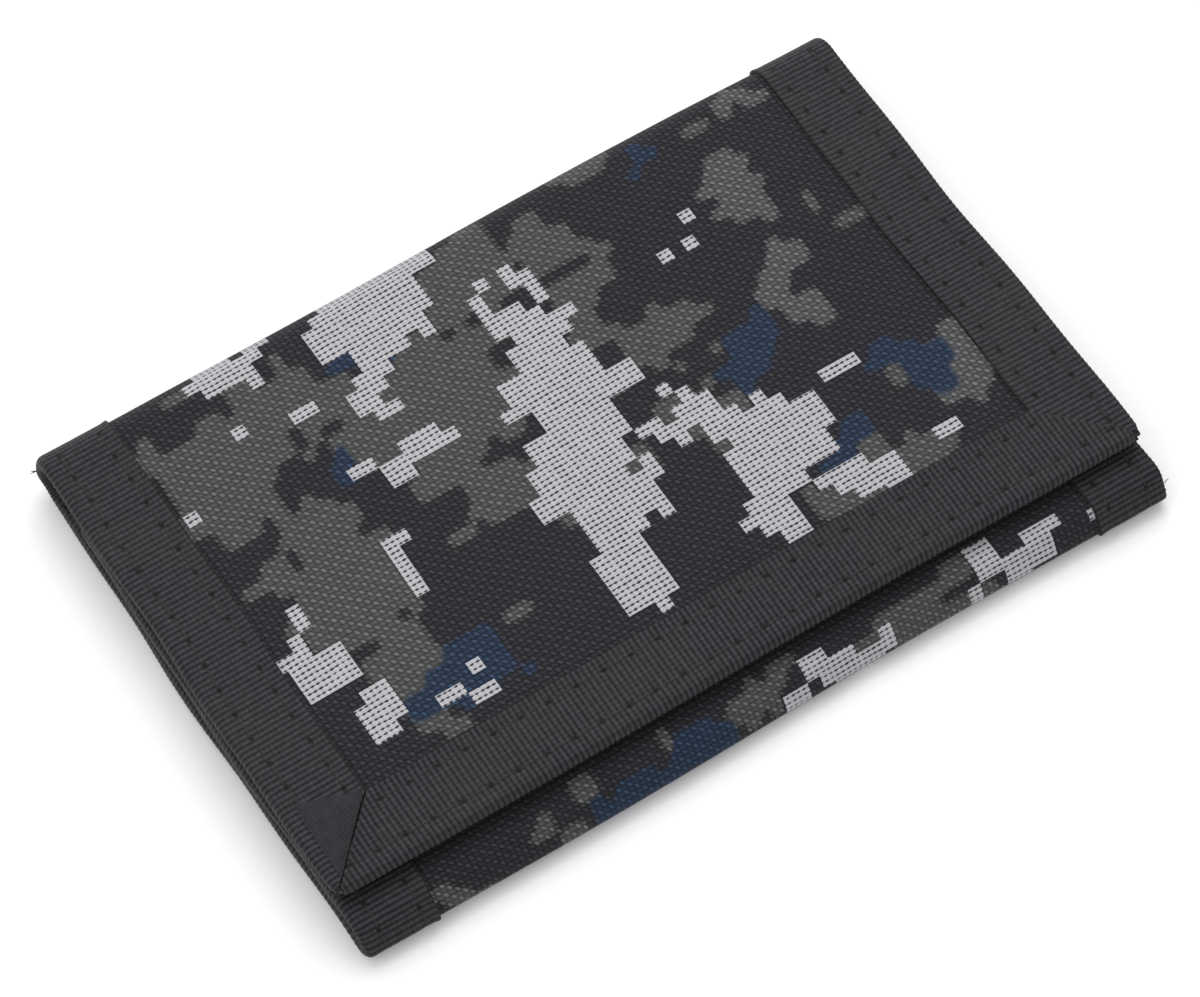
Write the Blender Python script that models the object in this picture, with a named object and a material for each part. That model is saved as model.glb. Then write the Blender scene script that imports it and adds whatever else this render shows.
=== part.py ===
"""Trifold wallet of printed woven polyester with tape-bound edges, lying closed on its back panel.

The cloth is one long strip folded twice. Seen from the table upwards the closed wallet is: the base
panel, the inner panel (folded back over the base along the front fold) and the flap (folded forward
over both along the back fold). Every layer is swept along a line drawn on the outside of the strip,
so a layer is a depth under that line and a stretch of it.

Metres, +Z up. X runs along the folds, -Y is the front fold, the origin is under the middle.
"""

import math
from collections import namedtuple

import bmesh
import bpy
from mathutils import Vector

MM = 0.001

# Overall size of the closed wallet. Its height follows from the layers and the gaps between panels
WIDTH = 125.0 * MM
DEPTH = 84.0 * MM

# Folds
BACK_FOLD_FLAT = 1.2 * MM
PANEL_GAP = 0.5 * MM
FLAP_GAP = 1.0 * MM
FLAP_SETBACK = 5.5 * MM
INNER_PANEL_SETBACK = 11.0 * MM
CREASE_GAP = 0.15 * MM
ARC_STEP_DEG = 11.25

# Cloth and tape
TAPE = 0.30 * MM
TAPE_COVER = 11.0 * MM
SHELL = 0.45 * MM
DIVIDER = 0.20 * MM
POCKET = 0.20 * MM
VINYL = 0.12 * MM
LAYER_GAP = 0.08 * MM
MOVING_GAP = 0.30 * MM
MITRE_GAP = 0.10 * MM

# Card pockets, whose mouths face +X and are set back from the tape there
POCKET_SIDE_MARGIN = 2.0 * MM
REAR_POCKET_SETBACK = 13.5 * MM
FRONT_POCKET_SETBACK = 27.5 * MM
WINDOW_SETBACK = 17.5 * MM
WINDOW_BORDER = 8.0 * MM

# Hook-and-loop closure
CLOSURE_END_MARGIN = 11.5 * MM
CLOSURE_WIDTH = 16.0 * MM
CLOSURE_THICKNESS = 0.62 * MM
CLOSURE_FROM_TAPE = 1.0 * MM

# Coin-pocket zip in the inner panel
ZIP_FROM_TAPE = 2.5 * MM
ZIP_SLOT = 7.0 * MM
ZIP_TAPE_WIDTH = 8.5 * MM
ZIP_TAPE = 0.18 * MM
ZIP_CENTRE_GAP = 1.1 * MM
ZIP_END_MARGIN = 2.5 * MM
COIL_WIDTH = 1.5 * MM
COIL_HEIGHT = 0.80 * MM
COIL_PITCH = 2.0 * MM
COIL_TOOTH_DEPTH = 0.45 * MM
STOP_LENGTH = 2.0 * MM
COIN_SHEET = 0.16 * MM
COIN_POCKET_FROM_FOLD = 12.5 * MM
SLIDER_LENGTH = 8.0 * MM
SLIDER_PLATE = 0.35 * MM
SLIDER_LOWER_PLATE = 0.16 * MM
SLIDER_NECK = 0.50 * MM
SLIDER_CLEARANCE = 0.06 * MM
SLIDER_FLANGE = 0.45 * MM
CROWN_WIDTH = 1.2 * MM
CROWN_LENGTH = 4.6 * MM
CROWN_POST = 0.9 * MM
CROWN_THICKNESS = 0.28 * MM
PULL_LENGTH = 14.0 * MM
PULL_WIDTH = 4.4 * MM
PULL_THICKNESS = 0.34 * MM
PULL_EYE_WALL = 1.0 * MM

Station = namedtuple("Station", "point inward depth")
Layer = namedtuple("Layer", "top bottom")

MATERIALS = {
    "printed_cloth": ((0.045, 0.047, 0.052), 0.85, 0.0),
    "binding_tape": ((0.012, 0.012, 0.013), 0.80, 0.0),
    "lining_cloth": ((0.010, 0.010, 0.011), 0.75, 0.0),
    "hook_tape": ((0.014, 0.014, 0.015), 0.60, 0.0),
    "loop_tape": ((0.012, 0.012, 0.013), 0.95, 0.0),
    "clear_vinyl": ((0.70, 0.72, 0.74), 0.15, 0.0),
    "zip_tape": ((0.011, 0.011, 0.012), 0.80, 0.0),
    "zip_coil": ((0.016, 0.016, 0.017), 0.40, 0.0),
    "zip_metal": ((0.060, 0.060, 0.064), 0.35, 0.9),
}


def stacked(*thicknesses):
    """Layers one under the other from depth 0, with the layer gap between them."""
    layers, depth = [], 0.0
    for thickness in thicknesses:
        layers.append(Layer(depth, depth + thickness))
        depth += thickness + LAYER_GAP
    return layers


# Depths under the outside of the strip, which is the outer face of the binding tape
OUTER_LEAF, SHELL_LAYER, SHELL_LEAF, DIVIDER_LEAF = stacked(TAPE, SHELL, TAPE, TAPE)
ZIP_TAPE_LAYER, SLIDER_PLATE_LAYER, COIN_LAYER = stacked(
    SHELL_LAYER.bottom, ZIP_TAPE, SLIDER_LOWER_PLATE, COIN_SHEET
)[1:]
NOTE_DEPTH = max(DIVIDER_LEAF.bottom, COIN_LAYER.bottom)
DIVIDER_LAYER, THIN_LEAF = stacked(NOTE_DEPTH, DIVIDER, TAPE)[1:]
BASE_REAR_POCKET, BASE_FRONT_POCKET, BASE_LEAF = stacked(DIVIDER_LAYER.bottom, POCKET, POCKET, TAPE)[1:]
INNER_POCKET, WINDOW_SHEET, WINDOW_FRAME, INNER_LEAF = stacked(
    DIVIDER_LAYER.bottom, POCKET, VINYL, POCKET, TAPE
)[1:]

# Heights of the inner panel, of what stands on it and of the closed wallet
INNER_PANEL_HEIGHT = BASE_LEAF.bottom + PANEL_GAP + INNER_LEAF.bottom
LOOP_BOTTOM = INNER_PANEL_HEIGHT - SHELL_LAYER.top + LAYER_GAP
COIL_BOTTOM = INNER_PANEL_HEIGHT - ZIP_TAPE_LAYER.top + LAYER_GAP
COIL_TOP = COIL_BOTTOM + COIL_HEIGHT
SLIDER_TOP_PLATE = Layer(COIL_TOP + SLIDER_CLEARANCE + SLIDER_PLATE, COIL_TOP + SLIDER_CLEARANCE)
PULL_BOTTOM = SLIDER_TOP_PLATE.top + SLIDER_CLEARANCE
PULL_LAYER = Layer(PULL_BOTTOM + PULL_THICKNESS, PULL_BOTTOM)
CROWN_TOP = PULL_LAYER.top + SLIDER_CLEARANCE + CROWN_THICKNESS
HEIGHT = max(
    INNER_PANEL_HEIGHT + FLAP_GAP + THIN_LEAF.bottom,
    LOOP_BOTTOM + 2 * CLOSURE_THICKNESS + MOVING_GAP + LAYER_GAP + DIVIDER_LAYER.bottom,
    CROWN_TOP + MOVING_GAP + DIVIDER_LAYER.bottom,
)

# Places along the strip
HALF_WIDTH = WIDTH / 2
HALF_DEPTH = DEPTH / 2
BACK_FOLD_RADIUS = (HEIGHT - BACK_FOLD_FLAT) / 2
FRONT_FOLD_RADIUS = INNER_PANEL_HEIGHT / 2
FRONT_CENTRE_Y = FRONT_FOLD_RADIUS - HALF_DEPTH
BACK_CENTRE_Y = HALF_DEPTH - BACK_FOLD_RADIUS
FLAP_EDGE_Y = FLAP_SETBACK - HALF_DEPTH
INNER_EDGE_Y = HALF_DEPTH - INNER_PANEL_SETBACK
TAPE_WEB = TAPE + LAYER_GAP
CLEAR_HALF_WIDTH = HALF_WIDTH - TAPE_COVER - LAYER_GAP
POCKET_LEFT = TAPE_WEB - HALF_WIDTH

# Places of the zip
ZIP_Y = INNER_EDGE_Y - TAPE_COVER - ZIP_FROM_TAPE - ZIP_SLOT / 2
ZIP_HALF_GAP = ZIP_CENTRE_GAP / 2
ZIP_HALF_LENGTH = CLEAR_HALF_WIDTH - ZIP_END_MARGIN


def arc(centre_y, centre_z, radius, start_deg, end_deg):
    """Places (y, z, depth_y, depth_z) along an arc, the depth pointing at its centre."""
    steps = max(1, round(abs(end_deg - start_deg) / ARC_STEP_DEG))
    places = []
    for i in range(steps + 1):
        angle = math.radians(start_deg + (end_deg - start_deg) * i / steps)
        c, s = math.cos(angle), math.sin(angle)
        places.append((centre_y + radius * c, centre_z + radius * s, -c, -s))
    return places


def body_lines():
    """The outside of the strip as (y, z, depth_y, depth_z), cut at the creases into bodies."""
    back_trim = math.degrees(CREASE_GAP / BACK_FOLD_RADIUS)
    front_trim = math.degrees(CREASE_GAP / FRONT_FOLD_RADIUS)
    upper_centre_z = HEIGHT - BACK_FOLD_RADIUS
    base = arc(FRONT_CENTRE_Y, FRONT_FOLD_RADIUS, FRONT_FOLD_RADIUS, 135 + front_trim, 180)[:-1]
    base += arc(FRONT_CENTRE_Y, FRONT_FOLD_RADIUS, FRONT_FOLD_RADIUS, 180, 270)
    base += arc(BACK_CENTRE_Y, BACK_FOLD_RADIUS, BACK_FOLD_RADIUS, 270, 315 - back_trim)
    spine = arc(BACK_CENTRE_Y, BACK_FOLD_RADIUS, BACK_FOLD_RADIUS, 315 + back_trim, 360)
    spine += arc(BACK_CENTRE_Y, upper_centre_z, BACK_FOLD_RADIUS, 0, 45 - back_trim)
    flap = arc(BACK_CENTRE_Y, upper_centre_z, BACK_FOLD_RADIUS, 45 + back_trim, 90)
    flap.append((FLAP_EDGE_Y, HEIGHT, 0.0, -1.0))
    inner = arc(FRONT_CENTRE_Y, FRONT_FOLD_RADIUS, FRONT_FOLD_RADIUS, 135 - front_trim, 90)
    inner.append((INNER_EDGE_Y, INNER_PANEL_HEIGHT, 0.0, -1.0))
    return {"base": base, "spine": spine, "flap": flap, "inner": inner}


def material(name):
    """The Principled material of that name, made once."""
    found = bpy.data.materials.get(name)
    if found:
        return found
    colour, roughness, metallic = MATERIALS[name]
    made = bpy.data.materials.new(name)
    made.use_nodes = True
    shader = made.node_tree.nodes["Principled BSDF"]
    shader.inputs["Base Color"].default_value = (*colour, 1.0)
    shader.inputs["Roughness"].default_value = roughness
    shader.inputs["Metallic"].default_value = metallic
    return made


def sweep(name, stations, sections, material_name):
    """One solid through the stations. A section is a closed outline of (inward, depth) points."""
    if not isinstance(sections[0], list):
        sections = [sections] * len(stations)
    bm = bmesh.new()
    rings = []
    for station, section in zip(stations, sections):
        ring = [bm.verts.new(station.point + a * station.inward + n * station.depth) for a, n in section]
        rings.append(ring)
    for first, second in zip(rings, rings[1:]):
        for j in range(len(first)):
            k = (j + 1) % len(first)
            bm.faces.new((first[j], first[k], second[k], second[j]))
    bm.faces.new(rings[0])
    bm.faces.new(rings[-1])
    return finish(name, bm, material_name)


def finish(name, bm, material_name):
    """Turns a bmesh into the named object, faces out."""
    bmesh.ops.recalc_face_normals(bm, faces=bm.faces)
    mesh = bpy.data.meshes.new(name)
    bm.to_mesh(mesh)
    bm.free()
    mesh.materials.append(material(material_name))
    obj = bpy.data.objects.new(name, mesh)
    bpy.context.scene.collection.objects.link(obj)
    return obj


def edge_stations(line, side):
    """Stations along one edge of the strip, measured inwards. Side is -1 on the left, +1 on the right."""
    inward = Vector((-side, 0, 0))
    return [Station(Vector((side * HALF_WIDTH, y, z)), inward, Vector((0, dy, dz))) for y, z, dy, dz in line]


def from_left(line):
    """Stations on the left edge of the strip."""
    return edge_stations(line, -1)


def from_right(line):
    """Stations on the right edge of the strip."""
    return edge_stations(line, 1)


def mitred(stations, inward_y):
    """The same stations with the last one turned into a mitre, inward_y being +1 or -1."""
    last = stations[-1]
    slant = Vector((0, inward_y, 0))
    return stations[:-1] + [Station(last.point + slant * MITRE_GAP, last.inward + slant, last.depth)]


def rectangle(inward_from, inward_to, layer):
    """A flat section."""
    return [
        (inward_from, layer.top),
        (inward_to, layer.top),
        (inward_to, layer.bottom),
        (inward_from, layer.bottom),
    ]


def channel(upper, lower):
    """The section of a tape folded over an edge: two leaves joined by a web with softened corners."""
    soft = min(TAPE, (lower.bottom - upper.top) / 4)
    return [
        (soft, upper.top),
        (TAPE_COVER, upper.top),
        (TAPE_COVER, upper.bottom),
        (TAPE, upper.bottom),
        (TAPE, lower.top),
        (TAPE_COVER, lower.top),
        (TAPE_COVER, lower.bottom),
        (soft, lower.bottom),
        (0.0, lower.bottom - soft),
        (0.0, upper.top + soft),
    ]


def channels_along(line, upper, fold_lower, flat_lower):
    """Tape sections along a line: the thin one round a fold, the deep one where pockets fill the edge."""
    sections = []
    for _, _, dy, dz in line:
        flat = abs(dy) < 1e-6
        sections.append(channel(upper, flat_lower if flat else fold_lower))
    return sections


def cloth(name, line, layer, material_name):
    """A full-width layer along a line, kept off the tape's web at both sides."""
    return sweep(name, from_left(line), rectangle(TAPE_WEB, WIDTH - TAPE_WEB, layer), material_name)


def bind_sides(body, line, flat_leaf, inward_y=None):
    """Edge tape of one body. The left edge is closed. The right edge leaves the note pocket open."""

    def edge(stations):
        return mitred(stations, inward_y) if inward_y else stations

    sweep(
        f"{body}_binding_left",
        edge(from_left(line)),
        channels_along(line, OUTER_LEAF, THIN_LEAF, flat_leaf),
        "binding_tape",
    )
    sweep(
        f"{body}_binding_right_outer",
        edge(from_right(line)),
        channel(OUTER_LEAF, SHELL_LEAF),
        "binding_tape",
    )
    sweep(
        f"{body}_binding_right_inner",
        edge(from_right(line)),
        channels_along(line, DIVIDER_LEAF, THIN_LEAF, flat_leaf),
        "binding_tape",
    )


def bind_end(name, edge_y, height, inward_y, leaf):
    """Tape over the free edge of a panel, mitred into both sides."""
    depth = Vector((0, 0, -1))
    left = Station(Vector((-HALF_WIDTH + MITRE_GAP, edge_y, height)), Vector((1, inward_y, 0)), depth)
    right = Station(Vector((HALF_WIDTH - MITRE_GAP, edge_y, height)), Vector((-1, inward_y, 0)), depth)
    return sweep(name, [left, right], channel(OUTER_LEAF, leaf), "binding_tape")


def trimmed(line, inward_y):
    """A line whose free end stops short of the tape's web."""
    y, z, dy, dz = line[-1]
    return line[:-1] + [(y + inward_y * TAPE_WEB, z, dy, dz)]


def sheet(name, x_range, y_range, height, layer, material_name):
    """A flat rectangular sheet at a depth under a panel's outside. Depth runs up on the base panel."""
    sign = 1 if height == 0.0 else -1
    depth = Vector((0, 0, sign))
    stations = [Station(Vector((x_range[0], y, height)), Vector((1, 0, 0)), depth) for y in y_range]
    return sweep(name, stations, rectangle(0.0, x_range[1] - x_range[0], layer), material_name)


def block(name, x_range, y_range, z_range, material_name):
    """A plain box between the given limits."""
    layer = Layer(z_range[0], z_range[1])
    return sheet(name, x_range, y_range, 0.0, layer, material_name)


def sheet_with_hole(name, outside, hole, layer, material_name):
    """A flat sheet with a rectangular hole. Outside and hole are (x range, y range), the layer is in z."""
    bm = bmesh.new()
    rings = []
    for z in (layer.top, layer.bottom):
        for xs, ys in (outside, hole):
            corners = ((xs[0], ys[0]), (xs[1], ys[0]), (xs[1], ys[1]), (xs[0], ys[1]))
            rings.append([bm.verts.new((x, y, z)) for x, y in corners])
    top_out, top_in, low_out, low_in = rings
    for a, b in ((top_out, top_in), (top_in, low_in), (low_in, low_out), (low_out, top_out)):
        for j in range(4):
            k = (j + 1) % 4
            bm.faces.new((a[j], a[k], b[k], b[j]))
    return finish(name, bm, material_name)


def frame_sheet(name, outer_x, outer_y, border, height, layer, material_name):
    """A flat sheet with a rectangular window in it, a border's width from its edges."""
    hole = [(limits[0] + border, limits[1] - border) for limits in (outer_x, outer_y)]
    level = Layer(height - layer.top, height - layer.bottom)
    return sheet_with_hole(name, (outer_x, outer_y), hole, level, material_name)


def toothed_bar(name, x_range, y_inner, y_outer, z_range, material_name):
    """One side of the zip: a bar with teeth towards the middle of the zip."""
    root_y = y_inner + math.copysign(COIL_TOOTH_DEPTH, y_outer - y_inner)
    outline = [(x_range[0], y_outer)]
    teeth = int((x_range[1] - x_range[0]) / COIL_PITCH)
    for i in range(teeth):
        x = x_range[0] + i * COIL_PITCH
        outline += [(x, root_y), (x, y_inner), (x + COIL_PITCH / 2, y_inner), (x + COIL_PITCH / 2, root_y)]
    outline.append((x_range[0] + teeth * COIL_PITCH, root_y))
    outline.append((x_range[0] + teeth * COIL_PITCH, y_outer))
    bm = bmesh.new()
    low = [bm.verts.new((x, y, z_range[0])) for x, y in outline]
    high = [bm.verts.new((x, y, z_range[1])) for x, y in outline]
    bm.faces.new(low)
    bm.faces.new(high)
    for j in range(len(outline)):
        k = (j + 1) % len(outline)
        bm.faces.new((low[j], low[k], high[k], high[j]))
    return finish(name, bm, material_name)


def fused(name, boxes, material_name):
    """Boxes joined into one solid by Boolean unions."""
    main, *others = [block(f"{name}_box_{i}", *limits, material_name) for i, limits in enumerate(boxes)]
    for other in others:
        join = main.modifiers.new("join", "BOOLEAN")
        join.operation = "UNION"
        join.object = other
        other.hide_render = True
        other.display_type = "WIRE"
    main.name = name
    return main


def make_base(line):
    cloth("base_shell", line, SHELL_LAYER, "printed_cloth")
    cloth("base_note_divider", line, DIVIDER_LAYER, "lining_cloth")
    across = (FRONT_CENTRE_Y + POCKET_SIDE_MARGIN, BACK_CENTRE_Y - POCKET_SIDE_MARGIN)
    pockets = (
        ("base_card_pocket_rear", REAR_POCKET_SETBACK, BASE_REAR_POCKET),
        ("base_card_pocket_front", FRONT_POCKET_SETBACK, BASE_FRONT_POCKET),
    )
    for name, setback, layer in pockets:
        sheet(name, (POCKET_LEFT, CLEAR_HALF_WIDTH - setback), across, 0.0, layer, "lining_cloth")
    bind_sides("base", line, BASE_LEAF)


def make_spine(line):
    cloth("back_spine_shell", line, SHELL_LAYER, "printed_cloth")
    cloth("back_spine_note_divider", line, DIVIDER_LAYER, "lining_cloth")
    bind_sides("back_spine", line, THIN_LEAF)


def make_flap(line):
    short = trimmed(line, 1)
    cloth("flap_shell", short, SHELL_LAYER, "printed_cloth")
    cloth("flap_note_divider", short, DIVIDER_LAYER, "lining_cloth")
    bind_sides("flap", line, THIN_LEAF, inward_y=1)
    bind_end("flap_binding_front", FLAP_EDGE_Y, HEIGHT, 1, THIN_LEAF)


def make_closure():
    """Hook tape under the flap, loop tape on the inner panel, face to face when the wallet is shut."""
    start = FLAP_EDGE_Y + TAPE_COVER + CLOSURE_FROM_TAPE
    across = (start, start + CLOSURE_WIDTH)
    along = (CLOSURE_END_MARGIN - CLEAR_HALF_WIDTH, CLEAR_HALF_WIDTH - CLOSURE_END_MARGIN)
    hook_top = HEIGHT - DIVIDER_LAYER.bottom - LAYER_GAP
    block("hook_strip", along, across, (hook_top - CLOSURE_THICKNESS, hook_top), "hook_tape")
    block("loop_strip", along, across, (LOOP_BOTTOM, LOOP_BOTTOM + CLOSURE_THICKNESS), "loop_tape")


def make_inner_panel(line):
    """Inner panel: its shell is cut across by the zip, and its lower side carries pocket and window."""
    slot_front, slot_rear = ZIP_Y - ZIP_SLOT / 2, ZIP_Y + ZIP_SLOT / 2
    front_part = line[:-1] + [(slot_front, INNER_PANEL_HEIGHT, 0.0, -1.0)]
    rear_part = [(slot_rear, INNER_PANEL_HEIGHT, 0.0, -1.0), trimmed(line, -1)[-1]]
    cloth("inner_panel_shell_front", front_part, SHELL_LAYER, "printed_cloth")
    cloth("inner_panel_shell_rear", rear_part, SHELL_LAYER, "printed_cloth")
    cloth("inner_panel_note_divider", trimmed(line, -1), DIVIDER_LAYER, "lining_cloth")
    bind_sides("inner_panel", line, INNER_LEAF, inward_y=-1)
    bind_end("inner_panel_binding_rear", INNER_EDGE_Y, INNER_PANEL_HEIGHT, -1, INNER_LEAF)

    across = (FRONT_CENTRE_Y + POCKET_SIDE_MARGIN, INNER_EDGE_Y - TAPE_WEB)
    pocket = (POCKET_LEFT, CLEAR_HALF_WIDTH - REAR_POCKET_SETBACK)
    window = (POCKET_LEFT, CLEAR_HALF_WIDTH - WINDOW_SETBACK)
    height = INNER_PANEL_HEIGHT
    sheet("inner_panel_card_pocket", pocket, across, height, INNER_POCKET, "lining_cloth")
    sheet("id_window_vinyl", window, across, height, WINDOW_SHEET, "clear_vinyl")
    frame_sheet("id_window_frame", window, across, WINDOW_BORDER, height, WINDOW_FRAME, "lining_cloth")


def make_coin_pocket():
    """The sheet that closes the coin pocket underneath, sewn in behind the zip."""
    across = (FRONT_CENTRE_Y + COIN_POCKET_FROM_FOLD, INNER_EDGE_Y - TAPE_WEB)
    along = (-CLEAR_HALF_WIDTH, CLEAR_HALF_WIDTH)
    sheet("coin_pocket_sheet", along, across, INNER_PANEL_HEIGHT, COIN_LAYER, "lining_cloth")


def make_zip():
    """Tapes, coils and end stops. The halves stay a little apart so that the slider's neck fits between."""
    along = (-CLEAR_HALF_WIDTH, CLEAR_HALF_WIDTH)
    coil_x = (-ZIP_HALF_LENGTH, ZIP_HALF_LENGTH)
    coil_z = (COIL_BOTTOM, COIL_TOP)
    for side, name in ((-1, "front"), (1, "rear")):
        inner = ZIP_Y + side * ZIP_HALF_GAP
        tape_y = sorted((inner, inner + side * ZIP_TAPE_WIDTH))
        sheet(f"zip_tape_{name}", along, tape_y, INNER_PANEL_HEIGHT, ZIP_TAPE_LAYER, "zip_tape")
        toothed_bar(f"zip_coil_{name}", coil_x, inner, inner + side * COIL_WIDTH, coil_z, "zip_coil")
    stop_y = (ZIP_Y - ZIP_HALF_GAP - COIL_WIDTH, ZIP_Y + ZIP_HALF_GAP + COIL_WIDTH)
    for side, name in ((-1, "bottom"), (1, "top")):
        near = side * (ZIP_HALF_LENGTH + LAYER_GAP)
        stop_x = sorted((near, near + side * STOP_LENGTH))
        block(f"zip_{name}_stop", stop_x, stop_y, coil_z, "zip_metal")


def make_slider():
    """Slider at the shut end of the zip, with its ribbon pull laid flat over the coil."""
    along = (ZIP_HALF_LENGTH - SLIDER_CLEARANCE - SLIDER_LENGTH, ZIP_HALF_LENGTH - SLIDER_CLEARANCE)
    wing = ZIP_HALF_GAP + COIL_WIDTH + LAYER_GAP + SLIDER_FLANGE
    across = (ZIP_Y - wing, ZIP_Y + wing)
    neck = (ZIP_Y - SLIDER_NECK / 2, ZIP_Y + SLIDER_NECK / 2)
    crown = (ZIP_Y - CROWN_WIDTH / 2, ZIP_Y + CROWN_WIDTH / 2)
    middle = sum(along) / 2
    crown_x = (middle - CROWN_LENGTH / 2, middle + CROWN_LENGTH / 2)
    flange_z = (COIL_BOTTOM, SLIDER_TOP_PLATE.bottom + LAYER_GAP)
    lower_z = (INNER_PANEL_HEIGHT - SLIDER_PLATE_LAYER.bottom, INNER_PANEL_HEIGHT - SLIDER_PLATE_LAYER.top)
    post_z = (SLIDER_TOP_PLATE.top - LAYER_GAP, CROWN_TOP)
    fused(
        "zip_slider",
        [
            (along, across, (SLIDER_TOP_PLATE.bottom, SLIDER_TOP_PLATE.top)),
            (along, (across[0], across[0] + SLIDER_FLANGE), flange_z),
            (along, (across[1] - SLIDER_FLANGE, across[1]), flange_z),
            (along, neck, (lower_z[0] + LAYER_GAP, flange_z[1])),
            (along, across, lower_z),
            ((crown_x[0], crown_x[0] + CROWN_POST), crown, post_z),
            ((crown_x[1] - CROWN_POST, crown_x[1]), crown, post_z),
            (crown_x, crown, (CROWN_TOP - CROWN_THICKNESS, CROWN_TOP)),
        ],
        "zip_metal",
    )
    eye_x = (crown_x[0] - SLIDER_CLEARANCE, crown_x[0] + CROWN_POST + SLIDER_CLEARANCE)
    eye_y = (crown[0] - SLIDER_CLEARANCE, crown[1] + SLIDER_CLEARANCE)
    tab_x = (eye_x[0] - PULL_LENGTH, eye_x[1] + PULL_EYE_WALL)
    tab_y = (ZIP_Y - PULL_WIDTH / 2, ZIP_Y + PULL_WIDTH / 2)
    sheet_with_hole("zip_pull_tab", (tab_x, tab_y), (eye_x, eye_y), PULL_LAYER, "binding_tape")


def main():
    for obj in list(bpy.data.objects):
        bpy.data.objects.remove(obj)
    lines = body_lines()
    make_base(lines["base"])
    make_spine(lines["spine"])
    make_flap(lines["flap"])
    make_inner_panel(lines["inner"])
    make_closure()
    make_coin_pocket()
    make_zip()
    make_slider()


main()
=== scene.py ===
"""Looks of the trifold wallet: printed canvas, ribbed edge tape with stitching, lining, pockets,
hook-and-loop tapes and the coin-pocket zip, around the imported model.

The cloth is one strip folded twice. Every soft piece is first made on the strip laid out flat, with
x across the wallet, s along the strip from the flap's free edge to the inner panel's, and d the depth
under its outside, all in millimetres. fold() then puts it in place.
"""

import collections
import functools
import random
from math import ceil, cos, exp, floor, pi, radians, sin, sqrt

import bmesh
import bpy
import numpy as np
from mathutils import Matrix, Vector


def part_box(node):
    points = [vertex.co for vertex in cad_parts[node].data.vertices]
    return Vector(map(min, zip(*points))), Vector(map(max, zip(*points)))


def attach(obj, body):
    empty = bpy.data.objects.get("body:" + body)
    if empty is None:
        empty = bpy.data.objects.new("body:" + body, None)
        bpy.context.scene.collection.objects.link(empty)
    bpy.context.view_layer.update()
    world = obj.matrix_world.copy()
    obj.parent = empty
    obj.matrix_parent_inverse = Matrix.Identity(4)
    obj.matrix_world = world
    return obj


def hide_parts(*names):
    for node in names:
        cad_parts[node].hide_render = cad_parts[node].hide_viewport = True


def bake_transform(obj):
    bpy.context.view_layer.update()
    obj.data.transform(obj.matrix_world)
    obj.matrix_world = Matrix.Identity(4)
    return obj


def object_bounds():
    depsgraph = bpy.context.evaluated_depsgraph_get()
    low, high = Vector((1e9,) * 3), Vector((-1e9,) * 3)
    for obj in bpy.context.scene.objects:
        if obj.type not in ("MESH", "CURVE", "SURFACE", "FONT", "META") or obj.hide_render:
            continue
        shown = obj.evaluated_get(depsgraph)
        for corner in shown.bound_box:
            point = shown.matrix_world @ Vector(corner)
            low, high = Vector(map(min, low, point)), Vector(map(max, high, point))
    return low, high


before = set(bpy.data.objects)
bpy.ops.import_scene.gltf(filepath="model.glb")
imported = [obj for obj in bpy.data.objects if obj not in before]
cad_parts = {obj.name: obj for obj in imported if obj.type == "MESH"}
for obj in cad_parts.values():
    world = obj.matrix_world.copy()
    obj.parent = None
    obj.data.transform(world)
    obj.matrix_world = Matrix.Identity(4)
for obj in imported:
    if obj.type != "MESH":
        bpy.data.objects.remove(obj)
cad_box = [[float(v) for v in corner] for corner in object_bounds()]

MM = 0.001


# ---- sizes read from the frame


def low(node):
    """The node's lowest corner, in millimetres."""
    return [float(v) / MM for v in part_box(node)[0]]


def high(node):
    """The node's highest corner, in millimetres."""
    return [float(v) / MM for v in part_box(node)[1]]


def ends_of(node):
    """The node's lowest and highest corners."""
    return low(node), high(node)


HALF_WIDTH = cad_box[1][0] / MM
HALF_DEPTH = cad_box[1][1] / MM
HEIGHT = cad_box[1][2] / MM
INNER_HEIGHT = high("inner_panel_binding_rear")[2]
FLAP_EDGE = low("flap_binding_front")[1]
INNER_EDGE = high("inner_panel_binding_rear")[1]
COVER = high("flap_binding_left")[0] - low("flap_binding_left")[0]

# Depths under the outside of the strip
SHELL_TOP = HEIGHT - high("flap_shell")[2]
DIVIDER_TOP = INNER_HEIGHT - high("inner_panel_note_divider")[2]
FLAP_LEAF = HEIGHT - low("flap_binding_front")[2]
INNER_LEAF = INNER_HEIGHT - low("inner_panel_binding_rear")[2]
TAPE = 0.30
SHELL = 0.45
DIVIDER = 0.20
LAYER_GAP = 0.08
WEB_GAP = TAPE + LAYER_GAP
REACH = HALF_WIDTH - WEB_GAP
BASE_LEAF = high("base_card_pocket_front")[2] + WEB_GAP
SHELL_LEAF = SHELL_TOP + SHELL + LAYER_GAP + TAPE
DIVIDER_LEAF = SHELL_LEAF + LAYER_GAP

# Folds. The back one has a short flat between two quarter rounds
BACK_FLAT = 1.2
BACK_RADIUS = (HEIGHT - BACK_FLAT) / 2
FRONT_RADIUS = INNER_HEIGHT / 2
BACK_CENTRE = HALF_DEPTH - BACK_RADIUS
FRONT_CENTRE = FRONT_RADIUS - HALF_DEPTH

# Where each stretch of the strip ends, counted from the flap's free edge
S_FLAP = BACK_CENTRE - FLAP_EDGE
S_UPPER = S_FLAP + pi / 2 * BACK_RADIUS
S_SPINE = S_UPPER + BACK_FLAT
S_LOWER = S_SPINE + pi / 2 * BACK_RADIUS
S_BASE = S_LOWER + BACK_CENTRE - FRONT_CENTRE
S_FRONT = S_BASE + pi * FRONT_RADIUS
S_END = S_FRONT + INNER_EDGE - FRONT_CENTRE

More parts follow.
